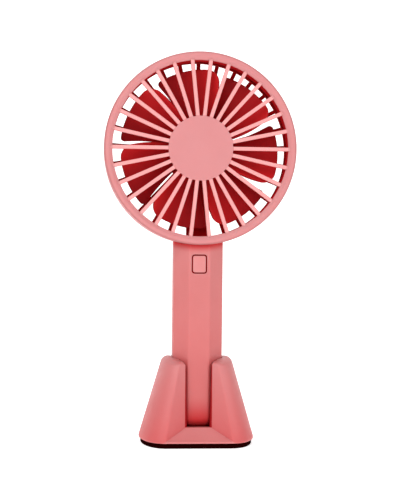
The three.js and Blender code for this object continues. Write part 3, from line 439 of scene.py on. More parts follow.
# painted shade: the blades' deep red is a darker copy of the shell's pink, for the shade inside the head
bladeShadedLook = Values(
    shellLook,
    colour=(0.56, 0.016, 0.019),
    shade=(0.50, 0.012, 0.015),
    deep=(0.22, 0.003, 0.005),
    back=(0.25, 0.004, 0.007),
    backSpan=(-9.5, 0.5),
    backShare=0.75,
    creaseShare=0.3,
    edge=(0.62, 0.04, 0.04),
    grainStrength=0.15,
    roughness=(0.40, 0.50),
    gloss=0.07,
    glow=0.1,
)
# painted shade: the rear grille's deep red is a darker copy of the shell's pink as well
ductShadedLook = Values(
    bladeShadedLook,
    colour=(0.48, 0.008, 0.011),
    shade=(0.42, 0.006, 0.009),
    roughness=(0.5, 0.6),
    gloss=0.0,
    glow=0.0,
)


def axes(net):
    parts = addNode(net, "SeparateXYZ", vector=net.place)
    return [parts.outputs[axis] for axis in "XYZ"]


def headRadiusNode(net):
    # distance from the head's axis, in metres
    x, y, z = axes(net)
    up = mathNode(net, "SUBTRACT", z, headZ * mm)
    across = mathNode(net, "MULTIPLY", x, x)
    square = mathNode(net, "ADD", across, mathNode(net, "MULTIPLY", up, up))
    return mathNode(net, "SQRT", square)


def inBox(net, centre, half, soft):
    # 1 inside an upright box, fading to 0 over a soft skin; all in millimetres
    share = None
    for value, middle, reach in zip(axes(net), centre, half):
        if reach is None:
            continue
        offset = mathNode(net, "SUBTRACT", value, middle * mm)
        away = mathNode(net, "ABSOLUTE", offset)
        inside = rampNode(net, away, reach * mm, (reach + soft) * mm, 1.0, 0.0)
        share = inside if share is None else mathNode(net, "MULTIPLY", share, inside)
    return share


def grillePaintedLight(net, colour):
    # painted highlight: the spokes are paler than the rim and the disc; painted shade: the rim's outer
    # round is darker
    radius, soft = headRadiusNode(net), spokeHighlight.soft
    begin = rampMm(net, radius, (spokeHighlight.begins - soft, spokeHighlight.begins))
    end = rampMm(net, radius, (spokeHighlight.ends, spokeHighlight.ends + soft), 1.0, 0.0)
    colour = mixNode(net, mathNode(net, "MULTIPLY", begin, end), colour, spokeHighlight.colour)
    outside = rampMm(net, radius, rimEdgeShade.radii, 0.0, rimEdgeShade.share)
    return mixNode(net, outside, colour, rimEdgeShade.colour)


def grillePaintedShade(net):
    # painted shade on the rim's inner wall behind its chamfer
    behind = rampMm(net, axes(net)[1], [headFront + depth for depth in ductShadeReach.grilleDepths])
    inner = rampMm(net, headRadiusNode(net), ductShadeReach.grilleRadii, 1.0, 0.0)
    return mathNode(net, "MULTIPLY", behind, inner)


def ringPaintedShade(net):
    # painted shade on the ring's inner wall in front of its back lip
    inner = rampMm(net, headRadiusNode(net), ductShadeReach.ringRadii, 1.0, 0.0)
    return mathNode(net, "MULTIPLY", inner, rampMm(net, axes(net)[1], ductShadeReach.ringEnds, 1.0, 0.0))


def heightShade(t):
    # painted shade: a slow shift to a stronger red towards the foot, weaker on the stand's lip and on the
    # handle's front facet
    def tint(net, colour):
        x, y, z = axes(net)
        share = rampMm(net, z, t.heights, t.share, 0.0, False)
        away = mathNode(net, "MULTIPLY", mathNode(net, "ABSOLUTE", x), t.acrossShare)
        reach = mathNode(net, "ADD", away, mathNode(net, "MULTIPLY", z, t.upShare))
        side = rampMm(net, reach, t.weakEnds, t.weak, 1.0)
        return mixNode(net, mathNode(net, "MULTIPLY", share, side), colour, t.colour)

    return tint


def handlePaintedShade(net):
    # painted shade beneath the head's ring, inside the button's window, and at the seated end
    d = handleShade
    under = rampMm(net, headRadiusNode(net), (headRadius, headRadius + d.underReach), d.share, 0.0)
    window = (0, d.grooveDepth - handleHalf, centreMm("power_button")[2])
    half = [buttonShape[key] / 2 + buttonShape.gap for key in ("width", "height")]
    groove = inBox(net, window, (half[0], d.grooveHalf, half[1]), d.grooveSoft)
    heights = [handleBottom + height for height in d.seatedHeights]
    seated = rampMm(net, axes(net)[2], heights, d.share, 0.0)
    return mathNode(net, "MAXIMUM", mathNode(net, "MAXIMUM", under, groove), seated)


def buttonPaintedShade(net):
    # painted shade on the button's sides, behind its face
    front = boxMm("power_button")[0][1]
    return rampMm(net, axes(net)[1], [front + depth for depth in buttonShape.shadeDepths])


def standPaintedShade(net):
    # painted shade on the walls of the socket and of its slots
    half, slotHalf = handleHalf + standShape.clearance, standShape.slotHalf + 0.1
    middle, reach, soft = standShape.socketShade
    socket = inBox(net, (0, 0, middle), (half, half, reach), soft)
    middle, reach, soft = standShape.slotShade
    slot = inBox(net, (0, 0, middle), (slotHalf, None, reach), soft)
    return mathNode(net, "MAXIMUM", socket, slot)


def bladeTint(net, colour):
    # brighter towards the front, where the blades catch the light
    share = rampMm(net, axes(net)[1], bladeShadedLook.backSpan, 0.0, bladeShadedLook.backShare, False)
    return mixNode(net, share, colour, bladeShadedLook.back)


def rubberPad(name):
    net = nodeTree(name)
    patch = rampNode(net, noiseNode(net, 70.0, 4.0), 0.35, 0.7)
    grain = noiseNode(net, padLook.grainScale, 3.0, 0.7)
    shade(
        net,
        baseColor=mixNode(net, patch, padLook.dark, padLook.dusty),
        roughness=rampNode(net, grain, 0.3, 0.7, *padLook.roughness),
        normal=bumpNode(net, grain, 0.5, padLook.grainDepth),
        specularIORLevel=0.0,
    )
    return net.material


def mappedPlace(net, **change):
    return addNode(net, "Mapping", vector=net.place, **change).outputs["Vector"]


def brushedMetal(name, colour, dark, roughness, stretch):
    # drawn or turned metal: fine streaks across the stretch axis, a dull bloom in patches
    net = nodeTree(name)
    streak = noiseNode(net, 900.0, 3.0, 0.6, mappedPlace(net, scale=stretch))
    bloom = rampNode(net, noiseNode(net, 160.0, 3.0), 0.35, 0.75)
    shade(
        net,
        baseColor=mixNode(net, bloom, colour, dark),
        roughness=rampNode(net, streak, 0.25, 0.75, roughness - 0.1, roughness + 0.14),
        normal=bumpNode(net, streak, 0.25, 0.02),
        metallic=1.0,
    )
    return net.material


def woundCopper(name, axis):
    # enamelled wire laid side by side: a fine band pattern round each coil
    net = nodeTree(name)
    wave = addNode(net, "TexWave", vector=net.place, scale=900.0, distortion=0.6)
    wave.bands_direction = axis
    bands = wave.outputs["Fac"]
    shade(
        net,
        baseColor=mixNode(net, bands, (0.22, 0.07, 0.03), (0.66, 0.27, 0.13)),
        roughness=rampNode(net, noiseNode(net, 700.0), 0.3, 0.7, 0.24, 0.38),
        normal=bumpNode(net, bands, 0.7, 0.08),
        metallic=0.9,
    )
    return net.material


def circuitBoard(name):
    net = nodeTree(name)
    face = mappedPlace(net, rotation=(math.radians(90), 0, 0))
    tracks = addNode(net, "TexBrick", vector=face, scale=420.0, mortarSize=0.06, **boardLook)
    shade(
        net,
        baseColor=tracks.outputs["Color"],
        roughness=rampNode(net, noiseNode(net, 1800.0), 0.3, 0.7, 0.25, 0.4),
        normal=bumpNode(net, tracks.outputs["Fac"], 0.4, 0.03),
    )
    return net.material


def grainy(name, colour, other, roughness, scale, strength, depth, metallic=0.0):
    # a plain finish with its own grain, for the small pieces
    net = nodeTree(name)
    patch = rampNode(net, noiseNode(net, scale * 0.12, 3.0), 0.3, 0.7)
    grain = noiseNode(net, scale, 3.0, 0.6)
    shade(
        net,
        baseColor=mixNode(net, patch, colour, other),
        roughness=rampNode(net, grain, 0.25, 0.75, roughness - 0.06, roughness + 0.08),
        normal=bumpNode(net, grain, strength, depth),
        metallic=metallic,
    )
    return net.material


padLook = Values(
    dark=(0.010, 0.0004, 0.0004),
    dusty=(0.016, 0.0008, 0.0008),
    roughness=(0.62, 0.85),
    grainScale=2600.0,
    grainDepth=0.06,
)
boardLook = Values(color1=(0.012, 0.12, 0.045), color2=(0.016, 0.15, 0.055), mortar=(0.03, 0.25, 0.10))
shellPlastic = mouldedPlastic("shellPlastic", shellLook)
grillePlastic = mouldedPlastic("grillePlastic", grilleLitLook, grillePaintedShade, grillePaintedLight)
ringPlastic = mouldedPlastic("ringPlastic", shellLook, ringPaintedShade)
bladePlastic = mouldedPlastic("bladePlastic", bladeShadedLook, None, bladeTint)
ductPlastic = mouldedPlastic("ductPlastic", ductShadedLook)
padRubber = rubberPad("padRubber")
platedSteel = brushedMetal("platedSteel", (0.62, 0.63, 0.65), (0.50, 0.51, 0.53), 0.34, (1, 1, 6))
motorSteel = brushedMetal("motorSteel", (0.55, 0.56, 0.58), (0.42, 0.43, 0.45), 0.3, (1, 8, 1))
nickelStrip = brushedMetal("nickelStrip", (0.66, 0.63, 0.57), (0.55, 0.52, 0.47), 0.3, (6, 1, 1))
copperWire = woundCopper("copperWire", "Y")
bronzeBush = grainy("bronzeBush", (0.42, 0.26, 0.09), (0.32, 0.19, 0.07), 0.42, 2500.0, 0.3, 0.03, 1.0)
print("materials made")


grilleShape = Values(
    rimWidth=4.0,
    rimEdge=1.3,
    crestInner=43.75,
    chamferDepth=1.1,
    seam=5.9,
    skirtBack=9.3,
    skirtRadius=43.2,
    spokes=30,
    spokeWidth=1.78,
    spokeDepth=2.4,
    spokeRecess=0.5,
    spokeRound=0.62,
    discRadius=15.4,
    discFillet=0.42,
    steps=240,
)


def frontGrille(g):
    inner = headRadius - g.rimWidth
    seam, back = headFront + g.seam, headFront + g.skirtBack
    profile = filleted([
        (headRadius, seam, 0.25),
        (headRadius, headFront, g.rimEdge),
        (g.crestInner, headFront, 0.25),
        (inner, headFront + g.chamferDepth, 0.5),
        (inner, back, 0.3),
        (g.skirtRadius, back, 0.4),
        (g.skirtRadius, back - 0.5, 0.2),
        (g.skirtRadius + 0.25, back - 0.8, 0.1),
        (g.skirtRadius, back - 1.3, 0.2),
        (g.skirtRadius, seam, 0.1),
    ])
    rimShape = turned(profile, g.steps, headZ)
    # the disc and its spokes are one outline: an arc of the disc, then out and back round each spoke
    outline = []
    half, pitch = g.spokeWidth / 2, 2 * math.pi / g.spokes
    outer = inner + 0.7
    for i in range(g.spokes):
        c, s = math.cos(i * pitch), math.sin(i * pitch)
        root = math.sqrt(g.discRadius ** 2 - half ** 2)
        edgeX, edgeY = g.discRadius * math.cos(pitch / 2), g.discRadius * math.sin(pitch / 2)
        corners = [(edgeX, -edgeY, 0), (root, -half, g.discFillet), (outer, -half, 0)]
        corners += [(outer, half, 0), (root, half, g.discFillet), (edgeX, edgeY, 0)]
        local = filleted(corners, 4, closed=False)[:-1]
        outline += [(x * c - y * s, headZ + x * s + y * c) for x, y in local]
    front = headFront + g.spokeRecess
    plate = lofted([[(x, y, z) for x, z in outline] for y in (front, front + g.spokeDepth)])
    plateMesh = makePiece("frontGrille", plate)
    softEdges(plateMesh, g.spokeRound, 4, 50)
    rimPiece = makePiece("rimPart", rimShape)
    return joined(plateMesh, rimPiece)


def joined(first, second):
    # both pieces' finished meshes as one, with their edges already rounded
    bpy.context.view_layer.update()
    graph = bpy.context.evaluated_depsgraph_get()
    work = bmesh.new()
    for piece in (first, second):
        part = bpy.data.meshes.new_from_object(piece.evaluated_get(graph))
        work.from_mesh(part)
        bpy.data.meshes.remove(part)
    first.modifiers.clear()
    work.to_mesh(first.data)
    work.free()
    discard(second)
    return first


finishPiece(frontGrille(grilleShape), grillePlastic, "front_grille", "fan", "front_grille")

ringShape = Values(
    wall=2.5,
    edge=1.2,
    lipInner=43.1,
    lip=1.2,
    lipFlare=0.5,
    neckHalf=5.4,
    neckFront=-3.0,
    neckRise=0.8,
    wireHole=(1.4, 4.4, 7.2),  # half width, front, back
    screwHole=1.15,
    steps=240,
)


def headRing(r):
    low, high = boxMm("head_ring")
    front, innerRadius = low[1], headRadius - r.wall
    profile = filleted([
        (headRadius, front, 0.25),
        (headRadius, headBack, r.edge),
        (r.lipInner + r.lipFlare, headBack, 0.3),
        (r.lipInner, headBack - r.lip, 0.1),
        (innerRadius, headBack - r.lip, 0.1),
        (innerRadius, front, 0.3),
    ])
    ring = makePiece("headRing", turned(profile, r.steps, headZ))
    half, neckTop = r.neckHalf, headZ - headRadius + r.neckRise
    carve(ring, block(-half, half, r.neckFront, high[1], low[2], neckTop), "UNION")
    half, holeFront, holeBack = r.wireHole
    carve(ring, block(-half, half, holeFront, holeBack, low[2] - 1, headZ - innerRadius + 1))
    for node in ("handle_screw_1", "handle_screw_2"):
        x, y, z = centreMm(node)
        carve(ring, bar(r.screwHole, r.neckFront - 1, high[1] + 1, x, z))
    return ring


finishPiece(headRing(ringShape), ringPlastic, "shell", "fan", "head_ring")
print("front grille and ring made")

rearShape = Values(
    spokes=29,
    spokeWidth=1.85,
    bandInner=42.5,
    bandFlare=0.5,
    bandOuter=43.2,
    bandFront=3.4,
    bandBack=7.1,
    spokeDepth=2.6,
    rise=1.0,
    cupInner=12.35,
    cupOuter=13.45,
    cupFront=-4.2,
    cupFace=1.1,
    cupBack=8.0,
    flange=16.2,
    flangeDepth=2.4,
    boss=3.2,
    channelHalf=5.1,
    channelWall=1.2,
    channelFront=3.6,
    screwX=8.5,
    steps=144,
)


def rearSpoke(r):
    # a bar with round edges from the cup's flange to the band, set back a little towards the hub
    outline = roundedBox(r.spokeWidth, r.spokeDepth, 0.5, 3)
    inner, outer = r.flange - 0.6, r.bandInner + 0.5
    middle = r.bandBack - r.spokeDepth / 2
    loops = []
    for radius, lift in ((inner, r.rise - 0.12), (outer, 0.0)):
        loops.append([(radius, middle + lift + b, headZ + a) for a, b in outline])
    return lofted(loops)


def rearGrille(r):
    band = turned(filleted([
        (r.bandInner, r.bandFront, 0.25),
        (r.bandOuter, r.bandFront, 0.25),
        (r.bandOuter, r.bandBack, 0.08),
        (r.bandInner + r.bandFlare, r.bandBack, 0.08),
    ]), r.steps, headZ)
    cup = turned(filleted([
        (r.boss, r.cupFront, 0.2),
        (r.cupOuter, r.cupFront, 0.8),
        (r.cupOuter, r.cupBack - r.flangeDepth, 0.4),
        (r.flange, r.cupBack - r.flangeDepth, 0.5),
        (r.flange, r.cupBack, 0.3),
        (r.cupInner, r.cupBack, 0.2),
        (r.cupInner, r.cupFront + r.cupFace, 0.3),
        (r.boss, r.cupFront + r.cupFace, 0.1),
    ]), r.steps, headZ)
    half, top = r.channelHalf, headZ - r.cupInner - 0.6
    end = headZ - math.sqrt(r.bandInner ** 2 - half ** 2) - 0.5
    tray = makePiece("trayPart", block(-half, half, r.channelFront, r.cupBack - 0.1, end, top))
    inside = half - r.channelWall
    floorBack = r.channelFront + r.channelWall
    carve(tray, block(-inside, inside, floorBack, 12, end - 2, top + 1))
    carve(tray, block(-half - 1, half + 1, r.bandBack, 12, end - 2, headZ - r.bandInner + 1))
    softEdges(tray, 0.3, 2)
    pitch = 2 * math.pi / r.spokes
    spokes = []
    for i in range(r.spokes):
        angle = math.pi / 2 + pitch * i
        if abs(angle - 1.5 * math.pi) > pitch:
            spokes.append(turnedRound(rearSpoke(r), angle))
    piece = makePiece("rearGrille", together(band, cup))
    for side in (-1, 1):
        carve(piece, bar(1.15, r.cupFront - 1, r.cupFront + 2, side * r.screwX, headZ))
    carve(piece, block(-2, 2, floorBack, 12, headZ - r.bandOuter - 1, headZ - r.cupInner + 0.2))
    return joined(joined(piece, makePiece("spokePart", together(*spokes))), tray)


finishPiece(rearGrille(rearShape), ductPlastic, "rear_grille", "fan", "rear_grille")

coverShape = Values(radius=16.0, wall=1.2, edge=1.4, tailHalf=5.1, tailEdge=0.35, steps=144)


def rearCover(c):
    low, high = boxMm("rear_cover")
    front, back = low[1], high[1]
    cap = turned(filleted([
        (0, back, 0),
        (c.radius, back, c.edge),
        (c.radius, front, 0.2),
        (c.radius - c.wall, front, 0.2),
        (c.radius - c.wall, back - c.wall, 0.5),
        (0, back - c.wall, 0),
    ], 6, closed=False), c.steps, headZ)
    outline = [(-c.tailHalf, low[2]), (c.tailHalf, low[2])]
    outline += [(c.tailHalf, headZ - c.radius + 1.6), (-c.tailHalf, headZ - c.radius + 1.6)]
    tail = makePiece("tailPart", prismY(outline, front, front + c.wall))
    softEdges(tail, c.tailEdge, 3)
    return joined(makePiece("rearCover", cap), tail)


finishPiece(rearCover(coverShape), shellPlastic, "shell", "fan", "rear_cover")
print("rear grille and cover made")

rotorShape = Values(
    blades=7,
    tipRadius=38.3,
    thickness=1.2,
    restAngle=122.9,
    leadRoot=-5.0,
    leadTip=0.5,
    trailRoot=-54.0,
    trailTip=-45.5,
    leadCorner=2.4,
    trailCorner=5.0,
    leadY=0.8,
    trailY=-10.2,
    hubRadius=14.8,
    hubFront=-10.8,
    hubBack=-0.6,
    hubWall=1.0,
    hubFace=1.2,
    bossRadius=2.8,
    bossBack=-5.0,
    bore=1.06,
    across=44,
    along=18,
)


def bladePoint(r, u, v):
    # u runs from the leading to the trailing edge, v from the hub to the tip
    root = r.hubRadius - 0.5
    tipArc = math.radians(r.leadTip - r.trailTip) * r.tipRadius

    def cornerLoss(distance, radius):
        return 0.0 if distance >= radius else radius - math.sqrt(radius ** 2 - (radius - distance) ** 2)

    loss = cornerLoss(u * tipArc, r.leadCorner) + cornerLoss((1 - u) * tipArc, r.trailCorner)
    radius = root + v * (r.tipRadius - loss - root)
    share = (radius - root) / (r.tipRadius - root)
    lead = r.leadRoot + (r.leadTip - r.leadRoot) * share ** 1.3
    trail = r.trailRoot + (r.trailTip - r.trailRoot) * share ** 1.5
    angle = math.radians(r.restAngle + lead + u * (trail - lead))
    y = r.leadY + (r.trailY - r.leadY) * u ** 1.2 - 0.6 * (1 - share) * (1 - u)
    return Vector((radius * math.cos(angle), y, headZ + radius * math.sin(angle)))


def bladeShape(r):
    # thickness goes to nothing at the free edges over half a thickness, so that they come out round
    def spread(count):
        return [0.5 - 0.5 * math.cos(math.pi * k / count) for k in range(count + 1)]

    us, vs = spread(r.across), [k / r.along for k in range(r.along - 3)]
    vs += [1 - 0.5 / r.along, 1 - 0.2 / r.along, 1 - 0.06 / r.along, 1.0]
    half, delta = r.thickness / 2, 0.004
    points = []
    for side in (-1, 1):
        for v in vs:
            for u in us:
                here = bladePoint(r, u, v)
                along = bladePoint(r, min(u + delta, 1), v) - bladePoint(r, max(u - delta, 0), v)
                out = bladePoint(r, u, min(v + delta, 1)) - bladePoint(r, u, max(v - delta, 0))
                normal = along.cross(out).normalized()
                start, stop, tip = bladePoint(r, 0, v), bladePoint(r, 1, v), bladePoint(r, u, 1)
                gapToEdge = min((here - start).length, (here - stop).length, (here - tip).length)
                reach = min(gapToEdge / half, 1.0)
                points.append(tuple(here + normal * side * half * math.sqrt(1 - (1 - reach) ** 2)))
    wide, layer = len(us), len(us) * len(vs)
    faces = []
    for j in range(len(vs) - 1):
        for i in range(wide - 1):
            a = j * wide + i
            faces.append([a, a + 1, a + wide + 1, a + wide])
            faces.append([layer + a, layer + a + wide, layer + a + wide + 1, layer + a + 1])
    rootLine = list(range(wide))
    faces += [[a, layer + a, layer + a + 1, a + 1] for a in rootLine[:-1]]
    return points, faces


def impeller(r):
    wall = r.hubRadius - r.hubWall
    hub = turned(filleted([
        (r.bore, r.hubFront, 0.1),
        (r.hubRadius, r.hubFront, 1.0),
        (r.hubRadius, r.hubBack, 0.3),
        (wall, r.hubBack, 0.3),
        (wall, r.hubFront + r.hubFace, 0.6),
        (r.bossRadius, r.hubFront + r.hubFace, 0.3),
        (r.bossRadius, r.bossBack, 0.2),
        (r.bore, r.bossBack, 0.1),
    ]), 144, headZ)
    one = bladeShape(r)
    blades = [turnedRound(one, -2 * math.pi * i / r.blades) for i in range(r.blades)]
    piece = makePiece("impeller_fine", together(hub, *blades))
    evenNormals(piece.data, 1e-7)
    return piece


finishPiece(impeller(rotorShape), bladePlastic, "blade", "rotor", "impeller", smoothAngle=50)
print("impeller made")


handleShape = Values(
    chamfer=6.9,
    edge=1.6,
    wall=1.7,
    bottomRound=5.5,
    saddleGap=0.06,
    seam=0.09,
    softEdge=0.28,
    top=0.87,  # how far up the head's radius the shells run before the saddle is cut
    screwSink=1.5,
    lowerSink=2.8,
    recess=2.1,
    screwHole=1.15,
    lightHole=1.0,
    portGap=0.3,
)


def octagonAt(h, inset, z, edge):
    chamfer = h.chamfer - (2 - math.sqrt(2)) * inset
    outline = octagon(handleHalf - inset, chamfer, max(edge - 0.5 * inset, 0.4))
    return [(x, y, handleBottom + z) for x, y in outline]


def handleBody(h):
    bend = h.bottomRound
    loops = [octagonAt(h, bend * (1 - sine), bend * (1 - cosine), h.edge) for sine, cosine in quarter(8)]
    top = headZ - h.top * headRadius - handleBottom
    loops.append(octagonAt(h, 0, top, h.edge))
    return lofted(loops)


def handleHollow(h):
    top = headZ - h.top * headRadius - handleBottom + 1
    return lofted([octagonAt(h, h.wall, z, h.edge) for z in (h.wall, top)])


def saddle(h):
    radius = headRadius + h.saddleGap
    return turned([(0, -20), (radius, -20), (radius, 20), (0, 20)], 240, headZ)


def screwPlaces():
    places = []
    for i in (1, 2, 3):
        x, y, z = centreMm(f"handle_screw_{i}")
        places.append((x, z, boxMm(f"handle_screw_{i}")[1][1]))
    return places


def handleShell(h, name, side):
    shell = makePiece(name, handleBody(h))
    carve(shell, handleHollow(h))
    carve(shell, saddle(h))
    away = 40 * side
    near = h.seam * side
    carve(shell, block(-40, 40, min(near, away), max(near, away), -10, 200), "INTERSECT")
    return shell


def frontShell(h):
    shell = handleShell(h, "handleFront", -1)
    centreZ, gap = centreMm("power_button")[2], buttonShape.gap
    width, height = buttonShape.width + 2 * gap, buttonShape.height + 2 * gap
    window = [(x, z + centreZ) for x, z in roundedBox(width, height, buttonShape.windowCorner)]
    carve(shell, prismY(window, -handleHalf - 2, -handleHalf + h.wall + 2))
    return softEdges(shell, h.softEdge, 3)


def rearShell(h):
    shell = handleShell(h, "handleRear", 1)
    hole = h.screwHole
    for i, (x, z, back) in enumerate(screwPlaces()):
        floor = handleHalf - (h.screwSink if i < 2 else h.lowerSink)
        carve(shell, bar(h.recess + 0.8, floor - 1.2, handleHalf - 0.5, x, z, 48), "UNION")
        carve(shell, bar(h.recess, floor, handleHalf + 2, x, z, 48))
        carve(shell, bar(hole, floor - 4, floor + 1, x, z))
    low, high = boxMm("usb_shell")
    centreZ, inside, outside = (low[2] + high[2]) / 2, handleHalf - h.wall - 2, handleHalf + 2
    width, height = (high[k] - low[k] + 2 * h.portGap for k in (0, 2))
    mouth = [(x, z + centreZ) for x, z in roundedBox(width, height, 1.2)]
    carve(shell, prismY(mouth, inside, outside))
    x, y, z = centreMm("light_pipe")
    carve(shell, bar(h.lightHole, inside, outside, x, z))
    return softEdges(shell, h.softEdge, 3)


buttonShape = Values(
    width=6.2,
    height=8.0,
    corner=1.0,
    edge=0.35,
    crown=0.18,
    crownRings=(0.2, 0.45, 0.7, 0.92),
    gap=0.6,
    windowCorner=1.4,
    flange=0.7,
    flangeDepth=0.9,
    stem=1.6,
    shadeDepths=(0.3, 0.5),
)
# painted light: the button's pink is a paler copy of the shell's, for the light on its crowned face
buttonLitLook = Values(
    shellLook,
    colour=(0.62, 0.205, 0.20),
    shade=(0.60, 0.185, 0.18),
    grainStrength=0.5,
)


def powerButton(b):
    # the face is a shallow dome: rings that grow from its middle and go back
    low, high = boxMm("power_button")
    centreZ, front = (low[2] + high[2]) / 2, low[1]
    faceWidth, faceHeight = b.width - 2 * b.edge, b.height - 2 * b.edge
    rings = []
    for share in b.crownRings:
        outline = roundedBox(faceWidth * share, faceHeight * share, b.corner * share)
        rings.append((outline, front + b.crown * share ** 2))
    for sine, cosine in quarter(4):
        inset = b.edge * (1 - sine)
        corner = max(b.corner - inset, 0.2)
        outline = roundedBox(b.width - 2 * inset, b.height - 2 * inset, corner)
        rings.append((outline, front + b.crown + b.edge * (1 - cosine)))
    flangeFront = -handleHalf + handleShape.wall + 0.2
    for grow, y in ((0, 0), (b.flange, 0), (b.flange, b.flangeDepth)):
        outline = roundedBox(b.width + 2 * grow, b.height + 2 * grow, b.corner)
        rings.append((outline, flangeFront + y))
    loops = [[(x, y, centreZ + z) for x, z in outline] for outline, y in rings]
    stem = bar(b.stem, flangeFront, high[1], 0, centreZ)
    return makePiece("powerButton", together(lofted(loops), stem))


screwShape = Values(
    head=1.8,
    headRound=0.5,
    headDepth=1.2,
    shank=0.85,
    slot=0.15,  # half width and half length of the recess's bars
    cross=1.0,
    sink=0.7,
)


def crossScrew(name, x, z, back):
    # a pan head with a cross recess, on a plain shank
    s, tip = screwShape, boxMm(name)[0][1]
    under = back - s.headDepth
    points, faces = turned(filleted([
        (0, back, 0),
        (s.head, back, s.headRound),
        (s.head, under, 0.1),
        (s.shank, under, 0),
        (s.shank, tip + 0.6, 0),
        (0, tip, 0),
    ], 4, closed=False), 40)
    screw = makePiece(name + "_fine", ([(px + x, py, pz + z) for px, py, pz in points], faces))
    for wide, tall in ((s.slot, s.cross), (s.cross, s.slot)):
        carve(screw, block(x - wide, x + wide, back - s.sink, back + 1, z - tall, z + tall))
    return screw


handleShade = Values(
    share=0.85,
    underReach=4.2,
    seatedHeights=(1, 16),
    grooveDepth=1.2,
    grooveHalf=1.05,
    grooveSoft=0.06,
)
handlePlastic = mouldedPlastic("handlePlastic", shellLook, handlePaintedShade, heightShade(handleLowShade))
buttonPlastic = mouldedPlastic("buttonPlastic", buttonLitLook, buttonPaintedShade)
finishPiece(frontShell(handleShape), handlePlastic, "shell", "fan", "handle_front_shell")
finishPiece(rearShell(handleShape), handlePlastic, "shell", "fan", "handle_rear_shell")
finishPiece(powerButton(buttonShape), buttonPlastic, "shell", "button", "power_button")
for number, (screwX, screwZ, screwBack) in enumerate(screwPlaces(), 1):
    node = f"handle_screw_{number}"
    finishPiece(crossScrew(node, screwX, screwZ, screwBack), platedSteel, "steel", "fan", node)
print("handle made")


standShape = Values(
    skirt=0.8,
    lipTop=9.0,
    bottomRidge=16.0,
    topRidge=8.8,
    topHalfWidth=16.6,
    topHalfDepth=15.4,
    valleyAtLip=15.2,
    valleyAtTop=13.7,
    slotHalf=6.15,
    slotFoot=5.55,
    mouthRound=3.0,
    ridgeRound=1.6,
    lipRound=0.8,
    topRound=2.4,
    topFall=1.7,
    fallFrom=34.0,
    fallReach=13.0,
    seat=8.3,
    clearance=0.35,
    wall=2.0,
    socketWall=1.6,
    floor=1.7,
    hollowTop=35.0,
    post=2.4,
    postFoot=4.1,
    pilot=0.95,
    pilotTop=13,
    softEdge=0.45,
    levels=26,
    socketShade=(18, 20, 0.2),  # middle height, half height, soft skin
    slotShade=(30, 20.8, 0.3),
)


pastTop = 60  # clear of the stand's top, for cuts that run out of it


def standOutline(s, z, inset=0.0):
    bottom, top = standLow[2], standHigh[2]
    share = max(0.0, (z - bottom - s.skirt) / (top - bottom - s.skirt))
    halfWidth = standHigh[0] + (s.topHalfWidth - standHigh[0]) * share - inset
    depth = standHigh[1] + (s.topHalfDepth - standHigh[1]) * share - inset
    ridge = s.bottomRidge + (s.topRidge - s.bottomRidge) * share - 0.4 * inset
    lipStart = bottom + s.skirt
    lipShare = min(max((z - lipStart) / (s.lipTop - lipStart), 0.0), 1.0)
    upper = max(0.0, (z - s.lipTop) / (top - s.lipTop))
    valleyX = ridge + (s.slotHalf - ridge) * lipShare
    if lipShare < 1:
        valleyY = depth + (s.valleyAtLip - inset - depth) * lipShare
    else:
        valleyY = s.valleyAtLip + (s.valleyAtTop - s.valleyAtLip) * upper - inset
    # right front quarter: middle of the valley, its corner, the ridge, then a quarter ellipse
    valleyX = min(valleyX, ridge - 0.4)
    ridgeRound = s.ridgeRound * (0.35 + 0.65 * lipShare)
    corners = [(0.0, -valleyY, 0), (valleyX, -valleyY, s.lipRound), (ridge, -depth, ridgeRound)]
    arc = [(ridge + (halfWidth - ridge) * sine, -depth * cosine) for sine, cosine in quarter(22)[1:]]
    corners.append((*arc[0], 0))
    front = filleted(corners, 5, closed=False)[:-1] + arc
    rightHalf = front[1:] + [(x, -y) for x, y in reversed(front[1:-1])]
    left = [(-x, -y) for x, y in rightHalf]
    return [front[0]] + rightHalf + [(0.0, valleyY)] + left


def standOuter(s):
    bottom, top = standLow[2], standHigh[2]
    lipStart = bottom + s.skirt
    loops = []
    for z, inset in ((bottom, 0.25), (bottom + 0.12, 0.06), (bottom + 0.3, 0.0), (lipStart, 0.0)):
        loops.append((lipStart, z, inset))
    lipLevels = 8
    for k in range(1, lipLevels + 1):
        z = lipStart + (s.lipTop - lipStart) * k / lipLevels
        loops.append((z, z, 0.0))
    topStart = top - s.topRound
    for k in range(1, s.levels + 1):
        z = s.lipTop + (topStart - s.lipTop) * k / s.levels
        loops.append((z, z, 0.0))
    for sine, cosine in quarter(8)[1:]:
        z = topStart + s.topRound * sine
        loops.append((z, z, s.topRound * (1 - cosine)))
    sections = []
    for shapeZ, z, inset in loops:
        # the top falls away towards the front and back
        height = max(0.0, (z - s.fallFrom) / (top - s.fallFrom)) ** 1.5
        section = []
        for x, y in standOutline(s, shapeZ, inset):
            fall = s.topFall * min(1.0, (abs(y) / s.fallReach)) ** 2 * height
            section.append((x, y, z - fall))
        sections.append(section)
    return lofted(sections)


def roundPrism(node, radius, steps, z0, z1):
    # an upright bar on a screw's axis
    x, y, z = centreMm(node)
    turns = [2 * k * math.pi / steps for k in range(steps)]
    return prismZ([(x + radius * math.cos(t), y + radius * math.sin(t)) for t in turns], z0, z1)


